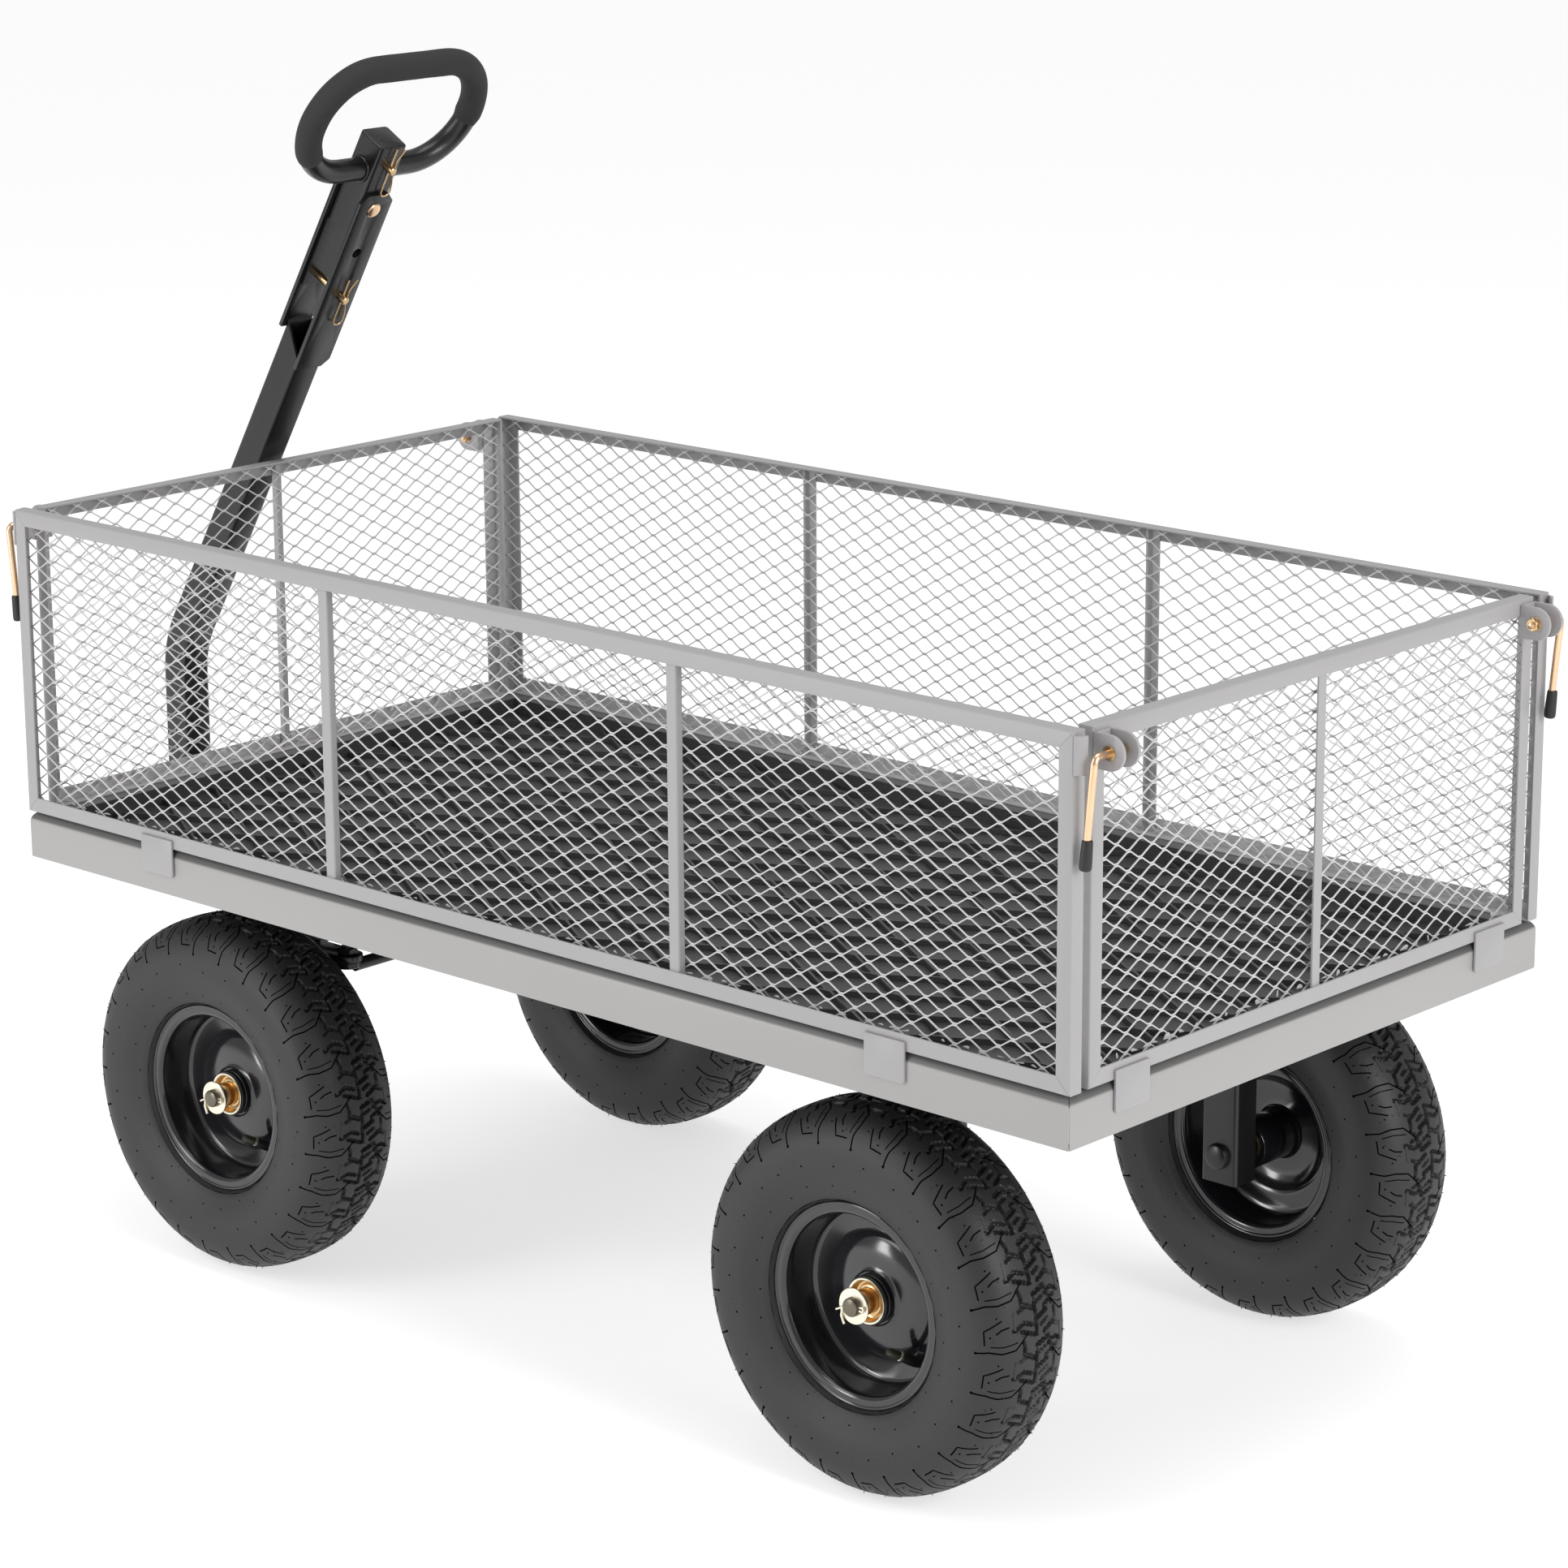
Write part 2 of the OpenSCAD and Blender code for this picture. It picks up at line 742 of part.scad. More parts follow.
// Angle-steel frame with upright bars: outer face at y = 0, foot at z = 0
module panel_frame(length, bars) {
    difference() {
        translate([-length / 2, 0, 0]) cube([length, angle_leg, panel_height]);
        translate([angle_sheet - length / 2, angle_sheet, angle_sheet])
            cube([length - 2 * angle_sheet, angle_leg, panel_height - 2 * angle_sheet]);
        translate([angle_leg - length / 2, -1, angle_leg])
            cube([length - 2 * angle_leg, angle_leg, panel_height - 2 * angle_leg]);
    }
    for (x = bars)
        translate([x - bar_face / 2, angle_sheet - eps, angle_sheet - eps]) {
            cube([bar_face, angle_sheet, panel_height - 2 * angle_sheet + 2 * eps]);
            translate([bar_face - angle_sheet, 0, 0])
                cube([angle_sheet, mesh_depth - angle_sheet + eps,
                      panel_height - 2 * angle_sheet + 2 * eps]);
        }
}

// Tabs welded on a panel's foot, which hang over the outside of the skirt
module panel_tabs(spacing)
    for (x = [-1, 1] * spacing / 2)
        translate([x, eps, 0])
            rotate([90, 0, 0])
                linear_extrude(tab_thick + eps)
                    polygon(concat(
                        [[tab_width / 2, tab_weld], [-tab_width / 2, tab_weld]],
                        arc([tab_corner - tab_width / 2, tab_corner - tab_drop], tab_corner, 180, 270, 4),
                        arc([tab_width / 2 - tab_corner, tab_corner - tab_drop], tab_corner, 270, 360, 4)
                    ));

// Half-round catches at both ends of a long panel, which the latch cams press on
module panel_catches()
    for (end = [-1, 1])
        translate([end * (half_length + panel_overhang - eps), catch_radius,
                   panel_height - latch_depth - catch_height / 2])
            difference() {
                cylinder(h = catch_height, r = catch_radius);
                translate([-end * catch_radius, 0, catch_height / 2])
                    cube([2 * catch_radius, 3 * catch_radius, catch_height + 1], center = true);
            }

module long_panel(side)
    color(panel_gray)
        rotate(side == LEFT ? 0 : 180)
            translate([0, -half_width - panel_overhang, panel_bottom]) {
                panel_frame(bed_length + 2 * panel_overhang, [-1, 1] * bar_spacing / 2);
                panel_tabs(long_tab_spacing);
                panel_catches();
            }

module end_panel(end)
    color(panel_gray)
        rotate(end == FRONT ? -90 : 90)
            translate([0, -half_length - panel_overhang, panel_bottom]) {
                panel_frame(end_panel_width, [0]);
                panel_tabs(end_tab_spacing);
            }

module panel_mesh(length)
    color(panel_gray)
        translate([0, mesh_depth + mesh_thick, panel_bottom + panel_height / 2])
            rotate([90, 0, 0])
                expanded_sheet([length - 2 * angle_sheet - gap, panel_height - 2 * angle_sheet - gap],
                               mesh_long_way, mesh_short_way, mesh_strand, mesh_thick);

module long_mesh(side)
    rotate(side == LEFT ? 0 : 180)
        translate([0, -half_width - panel_overhang, 0])
            panel_mesh(bed_length + 2 * panel_overhang);

module end_mesh(end)
    rotate(end == FRONT ? -90 : 90)
        translate([0, -half_length - panel_overhang, 0])
            panel_mesh(end_panel_width);

// ---- latches ----

// Places a latch drawn for the rear right corner: x outwards from the pivot, y towards the side
module at_latch(end, side)
    translate([end * latch_x, 0, latch_z])
        mirror([end == FRONT ? 1 : 0, 0, 0])
            mirror([0, side == LEFT ? 1 : 0, 0])
                children();

// U-shaped bracket with two rounded ears that the lever's rod turns in
module latch_bracket()
    difference() {
        union() {
            for (y = [ear_y - ear_thick, ear_y - ear_span])
                translate([0, y + ear_thick, 0])
                    rotate([90, 0, 0])
                        linear_extrude(ear_thick) {
                            circle(ear_radius);
                            translate([-latch_reach, -ear_radius])
                                square([latch_reach, 2 * ear_radius]);
                        }
            translate([-latch_reach, ear_y - ear_span, -ear_radius])
                cube([ear_thick, ear_span, 2 * ear_radius]);
        }
        translate([0, ear_y - ear_span - 1, 0])
            rotate([-90, 0, 0])
                cylinder(h = ear_span + 2, r = lever_radius + running);
    }

module latch_brackets(end)
    color(panel_gray)
        for (side = [LEFT, RIGHT])
            at_latch(end, side) latch_bracket();

// Bent rod: its pivot lies across the ears, its cam meets the catch, and it hangs at the corner
module latch_lever() {
    bend = 2 * lever_radius;
    inner = ear_y - ear_span - nut_thick - gap;
    color(copper_gold) {
        translate([0, inner, 0])
            rotate([-90, 0, 0]) {
                hex(10, nut_thick);
                cylinder(h = lever_y - bend - inner, r = lever_radius);
            }
        translate([0, lever_y - bend, -bend])
            rotate([0, -90, 0])
                rotate_extrude(angle = 90)
                    translate([bend, 0]) circle(lever_radius);
        translate([0, lever_y, -lever_length + tip_wall])
            cylinder(h = lever_length - tip_wall - bend, r = lever_radius);
        translate([cam_radius - cam_reach, ear_y + 1, 0])
            rotate([-90, 0, 0])
                cylinder(h = lever_y - bend - ear_y - 1.5, r = cam_radius);
    }
}

// Rubber sleeve on the end of the lever
module latch_tip()
    color(foam_black)
        translate([0, lever_y, -lever_length])
            difference() {
                union() {
                    translate([0, 0, 2]) cylinder(h = tip_length - 2, r = lever_radius + tip_wall);
                    cylinder(h = 2, r1 = lever_radius + 1, r2 = lever_radius + tip_wall);
                }
                translate([0, 0, tip_wall - running])
                    cylinder(h = tip_length, r = lever_radius + running);
            }

// ---- steering ----

// The tongue: a plate on the pivot bolt, an arm for the drag link and two cheeks for the handle
module tongue()
    color(satin_black)
        difference() {
            union() {
                translate([tongue_x, 0, arm_bottom])
                    linear_extrude(arm_thick) {
                        circle(2 * arm_radius);
                        strap([0, 0], [0, drag_arm], arm_radius);
                        translate([cheek_radius + 1 - hinge_ahead, -cheek_gap - eps])
                            square([hinge_ahead - cheek_radius - 1, 2 * cheek_gap + 2 * eps]);
                    }
                translate([tongue_x, 0, arm_bottom])
                    cylinder(h = beam_bottom - gap - arm_bottom, r = 18);
                for (side = [-1, 1])
                    translate([hinge_x, side * (cheek_gap + cheek_thick / 2) + cheek_thick / 2, hinge_height])
                        rotate([90, 0, 0])
                            linear_extrude(cheek_thick) {
                                circle(cheek_radius);
                                translate([0, -cheek_radius])
                                    square([hinge_ahead - 2 * arm_radius,
                                            arm_top - hinge_height + cheek_radius]);
                            }
            }
            translate([tongue_x, 0, arm_bottom - 1])
                cylinder(h = beam_bottom - arm_bottom + 1, r = kingpin_radius + running);
            translate([tongue_x, drag_arm, arm_bottom - 1])
                cylinder(h = arm_thick + 2, r = stud_radius + running);
            translate([hinge_x, 0, hinge_height])
                rotate([90, 0, 0])
                    cylinder(
                        h = 2 * (cheek_gap + cheek_thick) + 2, r = hinge_radius + running, center = true
                    );
        }

// A steering knuckle: the drop leg, a boss under the beam and the arms for the links
module knuckle(side) {
    inward = [0, -side * drag_arm];
    rearward = [tie_arm, 0];
    color(satin_black)
        translate([-axle_x, side * kingpin_y, 0])
            difference() {
                union() {
                    drop_leg(beam_bottom - leg_width / 4);
                    translate([0, 0, arm_top])
                        cylinder(h = beam_bottom - gap - arm_top, r = leg_width / 2);
                    translate([0, 0, arm_bottom])
                        linear_extrude(arm_thick) {
                            strap([0, 0], rearward, arm_radius);
                            if (side == LEFT) strap([0, 0], inward, arm_radius);
                        }
                }
                translate([0, 0, arm_bottom])
                    cylinder(h = beam_bottom - arm_bottom, r = kingpin_radius + running);
                translate([rearward.x, rearward.y, arm_bottom - 1])
                    cylinder(h = arm_thick + 2, r = stud_radius + (side == LEFT ? running : loose_fit));
                if (side == LEFT)
                    translate([inward.x, inward.y, arm_bottom - 1])
                        cylinder(h = arm_thick + 2, r = stud_radius + loose_fit);
            }
}

// Kingpin bolt, down through the beam's boss into the knuckle
module kingpin(side)
    color(zinc_gold)
        translate([-axle_x, side * kingpin_y, 0]) {
            translate([0, 0, beam_bottom + beam_size + gap]) hex(pivot_flats, head_thick);
            translate([0, 0, arm_bottom + gap])
                cylinder(h = beam_bottom + beam_size - arm_bottom, r = kingpin_radius);
        }

// A round link with a flat eye and a stud that points up at each end
module steering_link(from, to) {
    along = to - from;
    color(satin_black) {
        for (end = [from, to])
            translate([end.x, end.y, link_top - link_thick]) {
                cylinder(h = link_thick, r = eye_radius);
                cylinder(h = link_thick + gap + arm_thick + 8, r = stud_radius);
                translate([0, 0, link_thick + 2 * gap + arm_thick]) hex(17, 6);
            }
        translate([from.x, from.y, link_top - link_radius - 0.5])
            rotate([0, 90, atan2(along.y, along.x)])
                cylinder(h = norm(along), r = link_radius);
    }
}

module drag_link()
    steering_link([tongue_x, drag_arm], [-axle_x, drag_arm - kingpin_y]);

module tie_rod()
    steering_link([tie_arm - axle_x, -kingpin_y], [tie_arm - axle_x, kingpin_y]);

// ---- handle ----

// Square tube section
module tube_section(size, wall)
    difference() {
        square(size, center = true);
        square(size - 2 * wall, center = true);
    }

// The handle's upper frame: the origin is the rivet, z runs up the tube and x to its rear face
module on_handle()
    translate([rivet_x, 0, rivet_z])
        rotate([0, lean, 0])
            children();

// A point on the upper handle, seen from its side: along it from the rivet, and towards its rear
function handle_point(along, rearward) =
    [rivet_x + along * sin(lean) + rearward * cos(lean), rivet_z + along * cos(lean) - rearward * sin(lean)];

// Side outline of the bent handle between two faces, with its slanted end in the hitch
module bent_outline(half, extra) {
    foot = hinge_height - shaft_foot - extra;
    centre = [hinge_x + bend_radius, bend_height - bend_radius * tan(lean / 2)];
    slant = (shaft_rear_end - shaft_front_end) / shaft_size;
    middle = (shaft_rear_end + shaft_front_end) / 2 + extra;
    polygon(concat(
        [[hinge_x - half, foot]],
        arc(centre, bend_radius + half, 180, 180 - lean, 10),
        [handle_point(middle - slant * half, -half), handle_point(middle + slant * half, half)],
        arc(centre, bend_radius - half, 180 - lean, 180, 10),
        [[hinge_x + half, foot]]
    ));
}

// Bent square tube, hinged at its foot
module handle_shaft()
    color(satin_black)
        rotate([90, 0, 0])
            difference() {
                linear_extrude(shaft_size, center = true)
                    bent_outline(shaft_size / 2, 0);
                linear_extrude(shaft_size - 2 * shaft_wall, center = true)
                    bent_outline(shaft_size / 2 - shaft_wall, 1);
                translate([hinge_x, hinge_height, 0])
                    cylinder(h = shaft_size + 2, r = hinge_radius + running, center = true);
            }

// Clevis over the top of the handle tube: two cheek plates with open sides
module hitch_bracket() {
    side = hitch_width / 2;
    chamfer = 8;
    color(satin_black)
        on_handle()
            difference() {
                for (cheek = [[shaft_size / 2, hitch_rear_foot], [-hitch_half, hitch_front_foot]])
                    translate([cheek.x, 0, 0])
                        rotate([90, 0, 90])
                            linear_extrude(hitch_wall)
                                polygon([[-side, cheek.y], [side - chamfer, cheek.y],
                                         [side, cheek.y + chamfer], [side, hitch_top - chamfer],
                                         [side - chamfer, hitch_top], [chamfer - side, hitch_top],
                                         [-side, hitch_top - chamfer]]);
                pin_hole(0, rivet_radius + running);
                pin_hole(spare_hole, spare_radius);
                pin_hole(lock_hole, pin_radius + running);
            }
}

// A hole from the front to the rear of the handle at a distance from the rivet
module pin_hole(along, radius)
    translate([0, 0, along])
        rotate([0, 90, 0])
            cylinder(h = 2 * hitch_half + 2, r = radius, center = true);

// Short grip tube, capped on top and split into a fork below
module grip_tube() {
    inner = shaft_size / 2 - shaft_wall;
    color(satin_black)
        on_handle()
            difference() {
                union() {
                    translate([0, 0, fork_end])
                        linear_extrude(grip_top - fork_end)
                            tube_section(shaft_size, shaft_wall);
                    translate([-shaft_size / 2, -shaft_size / 2, grip_top - shaft_wall])
                        cube([shaft_size, shaft_size, shaft_wall]);
                    translate([0, 0, grip_top - eps]) cylinder(h = 0.6, r = 7);
                }
                rotate([90, 0, 0])
                    linear_extrude(2 * shaft_size, center = true) {
                        translate([-inner, fork_end - 1])
                            square([2 * inner, fork_split - fork_end + 1 - 6]);
                        translate([-inner + 6, fork_end])
                            square([2 * inner - 12, fork_split - fork_end]);
                        for (side = [-1, 1])
                            translate([side * (inner - 6), fork_split - 6]) circle(6);
                    }
                pin_hole(0, rivet_radius + running);
                pin_hole(spare_hole, spare_radius);
                for (along = [lock_hole, tow_hole])
                    pin_hole(along, pin_radius + running);
            }
}

// Round section swept along the grip's loop, to a given angle round each end from the top
module loop_sweep(outer, inner, sweep) {
    straight = loop_half_width - loop_half_height;
    module section()
        difference() {
            circle(outer);
            if (inner > 0) circle(inner);
        }
    translate([0, 0, loop_half_height])
        rotate([90, 0, 0])
            linear_extrude(2 * straight, center = true) section();
    for (side = [-1, 1]) {
        translate([0, side * straight, 0])
            rotate([0, -90, 0])
                rotate_extrude(angle = side * sweep, $fn = 64)
                    translate([loop_half_height, 0]) section();
        if (sweep == 180)
            translate([0, side * straight, -loop_half_height])
                rotate([side * 90, 0, 0])
                    linear_extrude(straight - shaft_size / 2) section();
    }
}

module grip_loop()
    color(satin_black)
        on_handle()
            translate([0, 0, loop_centre])
                loop_sweep(loop_radius, 0, 180);

module grip_foam()
    color(foam_black)
        on_handle()
            translate([0, 0, loop_centre])
                loop_sweep(loop_radius + foam_thick, loop_radius + running, 130);

module grip_rivet()
    color(copper_gold)
        on_handle()
            rotate([0, 90, 0]) {
                cylinder(h = 2 * hitch_half + 4, r = rivet_radius, center = true);
                for (side = [-1, 1])
                    translate([0, 0, side * (hitch_half + 1) - 1])
                        cylinder(h = 2, r = rivet_radius + 1.5);
            }

// A pin along x whose head and hairpin clip lie on faces this far from its middle
module clip_pin(face) {
    tail = 10;
    bow = 3.5;
    leg = 36;
    color(zinc_gold) {
        rotate([0, 90, 0]) {
            translate([0, 0, -face]) cylinder(h = 2 * face + tail, r = pin_radius);
            translate([0, 0, -face - 4]) cylinder(h = 4 + eps, r = pin_radius + 3);
        }
        translate([face + 4, bow, 12 - leg]) {
            for (side = [-1, 1])
                translate([0, side * bow, 0]) cylinder(h = side < 0 ? leg : leg - 6, r = clip_radius);
            rotate([0, 90, 0])
                rotate([0, 0, -90])
                    rotate_extrude(angle = 180) translate([bow, 0]) circle(clip_radius);
        }
    }
}

module hitch_pins()
    on_handle() {
        translate([0, 0, lock_hole]) clip_pin(hitch_half);
        translate([0, 0, tow_hole]) clip_pin(shaft_size / 2);
    }

// Bolt that hinges the handle between the tongue's cheeks
module handle_bolt() {
    outside = cheek_gap + cheek_thick;
    color(zinc_gold)
        translate([hinge_x, 0, hinge_height])
            rotate([-90, 0, 0]) {
                translate([0, 0, -outside - 6]) hex(18, 6);
                translate([0, 0, -outside - eps]) cylinder(h = 2 * outside + 10, r = hinge_radius);
                translate([0, 0, outside]) hex(18, 7);
            }
}

// ---- nodes ----

on_bed() long_rail(LEFT);  // rail_left
on_bed() long_rail(RIGHT);  // rail_right
on_bed() end_rail(FRONT);  // rail_front
on_bed() end_rail(REAR);  // rail_rear
on_bed() bed_floor();
on_bed() bed_runners();
on_bed() floor_straps();
on_bed() front_beam();
on_bed() rear_beam();
on_bed() rear_legs();
on_bed() tongue_mount();
on_bed() frame_bolts();
on_bed() rear_axles();
on_bed() long_panel(LEFT);  // panel_left
on_bed() long_panel(RIGHT);  // panel_right
on_bed() end_panel(FRONT);  // panel_front
on_bed() end_panel(REAR);  // panel_rear
on_bed() long_mesh(LEFT);  // mesh_left
on_bed() long_mesh(RIGHT);  // mesh_right
on_bed() end_mesh(FRONT);  // mesh_front
on_bed() end_mesh(REAR);  // mesh_rear
on_bed() latch_brackets(FRONT);  // latch_brackets_front
on_bed() latch_brackets(REAR);  // latch_brackets_rear
on_bed() at_latch(FRONT, LEFT) latch_lever();  // latch_lever_front_left
on_bed() at_latch(FRONT, RIGHT) latch_lever();  // latch_lever_front_right
on_bed() at_latch(REAR, LEFT) latch_lever();  // latch_lever_rear_left
on_bed() at_latch(REAR, RIGHT) latch_lever();  // latch_lever_rear_right
on_bed() at_latch(FRONT, LEFT) latch_tip();  // latch_tip_front_left
on_bed() at_latch(FRONT, RIGHT) latch_tip();  // latch_tip_front_right
on_bed() at_latch(REAR, LEFT) latch_tip();  // latch_tip_rear_left
on_bed() at_latch(REAR, RIGHT) latch_tip();  // latch_tip_rear_right
on_bed() tongue();
on_bed() knuckle(LEFT);  // knuckle_left
on_bed() knuckle(RIGHT);  // knuckle_right
on_bed() kingpin(LEFT);  // kingpin_left
on_bed() kingpin(RIGHT);  // kingpin_right
on_bed() drag_link();
on_bed() tie_rod();
on_bed() axle_front(LEFT);  // axle_front_left
on_bed() axle_front(RIGHT);  // axle_front_right
on_bed() handle_shaft();
on_bed() hitch_bracket();
on_bed() grip_tube();
on_bed() grip_loop();
on_bed() grip_foam();
on_bed() grip_rivet();
on_bed() hitch_pins();
on_bed() handle_bolt();
on_bed() at_wheel(FRONT, LEFT) tyre();  // tyre_front_left
on_bed() at_wheel(FRONT, RIGHT) tyre();  // tyre_front_right
on_bed() at_wheel(REAR, LEFT) tyre();  // tyre_rear_left
on_bed() at_wheel(REAR, RIGHT) tyre();  // tyre_rear_right
on_bed() at_wheel(FRONT, LEFT) rim();  // rim_front_left
on_bed() at_wheel(FRONT, RIGHT) rim();  // rim_front_right
on_bed() at_wheel(REAR, LEFT) rim();  // rim_rear_left
on_bed() at_wheel(REAR, RIGHT) rim();  // rim_rear_right
on_bed() at_wheel(FRONT, LEFT) wheel_fittings();  // wheel_fittings_front_left
on_bed() at_wheel(FRONT, RIGHT) wheel_fittings();  // wheel_fittings_front_right
on_bed() at_wheel(REAR, LEFT) wheel_fittings();  // wheel_fittings_rear_left
on_bed() at_wheel(REAR, RIGHT) wheel_fittings();  // wheel_fittings_rear_right
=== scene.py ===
# %% [markdown]
# # A steel mesh garden cart
# The real cart is a welded bed of folded sheet steel on four air-filled wheels, with lift-out
# sides of expanded metal and a long pull handle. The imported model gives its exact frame, joints
# and collision. This lesson models the surface that is seen, piece by piece, and paints it.

# %% Load the frame
import math
import random
import bmesh
import bpy
from mathutils import Matrix, Vector


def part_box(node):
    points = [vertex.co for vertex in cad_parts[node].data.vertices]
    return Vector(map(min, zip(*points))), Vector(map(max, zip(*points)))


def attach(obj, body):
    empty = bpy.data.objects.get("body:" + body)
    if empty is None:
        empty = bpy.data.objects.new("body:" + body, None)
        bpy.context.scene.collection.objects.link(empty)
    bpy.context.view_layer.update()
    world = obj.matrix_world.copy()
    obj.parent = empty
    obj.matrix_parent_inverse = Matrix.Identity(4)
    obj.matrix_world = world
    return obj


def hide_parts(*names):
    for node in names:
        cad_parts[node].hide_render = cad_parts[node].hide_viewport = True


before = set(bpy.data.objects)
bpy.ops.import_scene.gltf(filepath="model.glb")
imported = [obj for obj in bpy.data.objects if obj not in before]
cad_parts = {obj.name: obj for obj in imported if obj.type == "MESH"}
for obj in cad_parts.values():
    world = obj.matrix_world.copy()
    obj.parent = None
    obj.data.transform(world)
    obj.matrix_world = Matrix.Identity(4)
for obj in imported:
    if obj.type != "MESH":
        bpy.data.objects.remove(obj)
X, Y, Z, UNTURNED = Vector((1, 0, 0)), Vector((0, 1, 0)), Vector((0, 0, 1)), Matrix.Identity(4)


def write_size():
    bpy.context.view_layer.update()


def box_mm(node):
    """A node's box in millimetres, measured from the middle of the bed on the ground."""
    low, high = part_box(node)
    return Vector(low) * 1000 - MIDDLE, Vector(high) * 1000 - MIDDLE


write_size()
MIDDLE = Vector(((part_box("rail_left")[0][0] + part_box("rail_left")[1][0]) * 500, 0, 0))
print("nodes", len(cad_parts), "bed middle at x =", round(MIDDLE.x, 3), "mm")

# %% [markdown]
# ## Tools for building pieces
# Almost everything on the cart is bar, sheet, tube or a turned part. One small tool makes each
# kind with Blender's own operators: a flat section is swept through a few places, a profile is
# spun, an outline is filled and thickened. All pieces are drawn in millimetres from the middle of
# the bed, and `finish_piece` puts them in metres in the cart's frame and hangs them on a body.

# %% Finishing and joining
def finish_piece(name, bm, body, material, nodes=(), angle=35, place=UNTURNED):
    """Moves a piece into the cart's frame. It replaces the nodes given, or the node of its own name."""
    bm.transform(Matrix.Scale(0.001, 4) @ Matrix.Translation(MIDDLE) @ place)
    bmesh.ops.remove_doubles(bm, verts=bm.verts, dist=1e-6)
    bmesh.ops.recalc_face_normals(bm, faces=bm.faces)
    mesh = bpy.data.meshes.new(name)
    bm.to_mesh(mesh)
    bm.free()
    mesh.polygons.foreach_set("use_smooth", [True] * len(mesh.polygons))
    mesh.set_sharp_from_angle(angle=math.radians(angle))
    mesh.materials.append(material)
    piece = bpy.data.objects.new(name, mesh)
    bpy.context.scene.collection.objects.link(piece)
    slot, nodes = SLOTS[material.name], nodes or [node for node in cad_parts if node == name]
    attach(piece, body)
    if nodes:
        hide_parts(*nodes)
    return piece


def join(bm, part, *places):
    """Adds a part to a piece, once or once per place."""
    for place in places or (UNTURNED,):
        mesh = bpy.data.meshes.new("part")
        part.to_mesh(mesh)
        mesh.transform(place)
        bm.from_mesh(mesh)
        bpy.data.meshes.remove(mesh)
    part.free()


def only(items, kind):
    return [item for item in items if isinstance(item, kind)]


def bevel_sharp(bm, width, segments=2, angle=30):
    """Rounds the edges that bend by more than the angle."""
    bm.normal_update()
    edges = [e for e in bm.edges if len(e.link_faces) == 2 and e.calc_face_angle(0) > math.radians(angle)]
    bmesh.ops.bevel(bm, geom=edges, offset=width, segments=segments, profile=0.5, affect="EDGES",
                    clamp_overlap=True, material=-1)


print("finishing and joining ready")


# %% Places
def frame_of(origin, x, y, z):
    """The matrix whose axes are x, y and z, standing at the origin given."""
    m = Matrix((x, y, z)).transposed().to_4x4()
    m.translation = Vector(origin)
    return m


def shift(x, y, z):
    return Matrix.Translation((x, y, z))


def turned(angle, axis):
    """A turn about the X, Y or Z axis, in degrees."""
    return Matrix.Rotation(math.radians(angle), 4, axis)


def towards(start, end):
    """Puts the origin at start and points the +Y axis at end."""
    start, end = Vector(start), Vector(end)
    return shift(*start) @ (end - start).to_track_quat("Y", "Z").to_matrix().to_4x4()


print("places ready")


# %% Outlines
def arc(cx, cy, r, start, end, steps=6):
    angles = [math.radians(start + (end - start) * i / steps) for i in range(steps + 1)]
    return [(cx + r * math.cos(a), cy + r * math.sin(a)) for a in angles]


def circle(r, steps=24, cx=0.0, cy=0.0):
    return arc(cx, cy, r, 0, 360, steps)[:-1]


def rectangle(width, height):
    return [(sx * width / 2, sy * height / 2) for sx, sy in ((-1, -1), (1, -1), (1, 1), (-1, 1))]


def rounded(width, height, radius, steps=4):
    """A rectangle with round corners."""
    across, up, points = width / 2 - radius, height / 2 - radius, []
    for sx, sy, start in ((1, 1, 0), (-1, 1, 90), (-1, -1, 180), (1, -1, 270)):
        points += arc(sx * across, sy * up, radius, start, start + 90, steps)
    return points


def capsule(a, b, r):
    """A bar with round ends."""
    way = math.degrees(math.atan2(b[1] - a[1], b[0] - a[0]))
    return arc(*a, r, way + 90, way + 270, 16) + arc(*b, r, way - 90, way + 90, 16)


def ring_of(part, outline):
    """The vertices and the closed ring of edges of an outline, at z = 0."""
    verts = [part.verts.new((*point, 0)) for point in outline]
    return verts, [part.edges.new(pair) for pair in zip(verts, verts[1:] + verts[:1])]


print("outlines ready")


# %% Bars and rods
def sweep(bm, outline, places, hole=None):
    """Carries a section through the places. A hole with as many points makes it hollow."""
    part = bmesh.new()
    verts, edges = ring_of(part, outline)
    if hole:
        bmesh.ops.bridge_loops(part, edges=edges + ring_of(part, hole)[1])
    else:
        part.faces.new(verts)
    faces, here = part.faces[:], UNTURNED
    for step, place in enumerate(places):
        if step:
            edges = list({edge for face in faces for edge in face.edges})
            grown = bmesh.ops.extrude_face_region(part, geom=faces + edges)["geom"]
            faces = only(grown, bmesh.types.BMFace)
        moving = list({vert for face in faces for vert in face.verts})
        bmesh.ops.transform(part, matrix=place @ here.inverted(), verts=moving)
        here = place
    join(bm, part)


def bar(bm, outline, start, end, side, up, cut_start=(0, 0), cut_end=(0, 0)):
    """A straight bar. The cuts say how far each end runs on along the bar per unit across it."""
    start, end, side, up = Vector(start), Vector(end), Vector(side), Vector(up)
    along = (end - start).normalized()
    sweep(bm, outline, [frame_of(point, side + along * cut[0], up + along * cut[1], along)
                        for point, cut in ((start, cut_start), (end, cut_end))])


def rod(bm, points, radius, steps=12, radii=None):
    """Round wire along a path, with its own radius at each point if given."""
    points, places, side = [Vector(p) for p in points], [], None
    for i, point in enumerate(points):
        along = (points[min(i + 1, len(points) - 1)] - points[max(i - 1, 0)]).normalized()
        side = (side - along * side.dot(along) if side else along.orthogonal()).normalized()
        r = radii[i] if radii else radius
        places.append(frame_of(point, side * r, along.cross(side) * r, along))
    sweep(bm, circle(1, steps), places)


print("bars and rods ready")


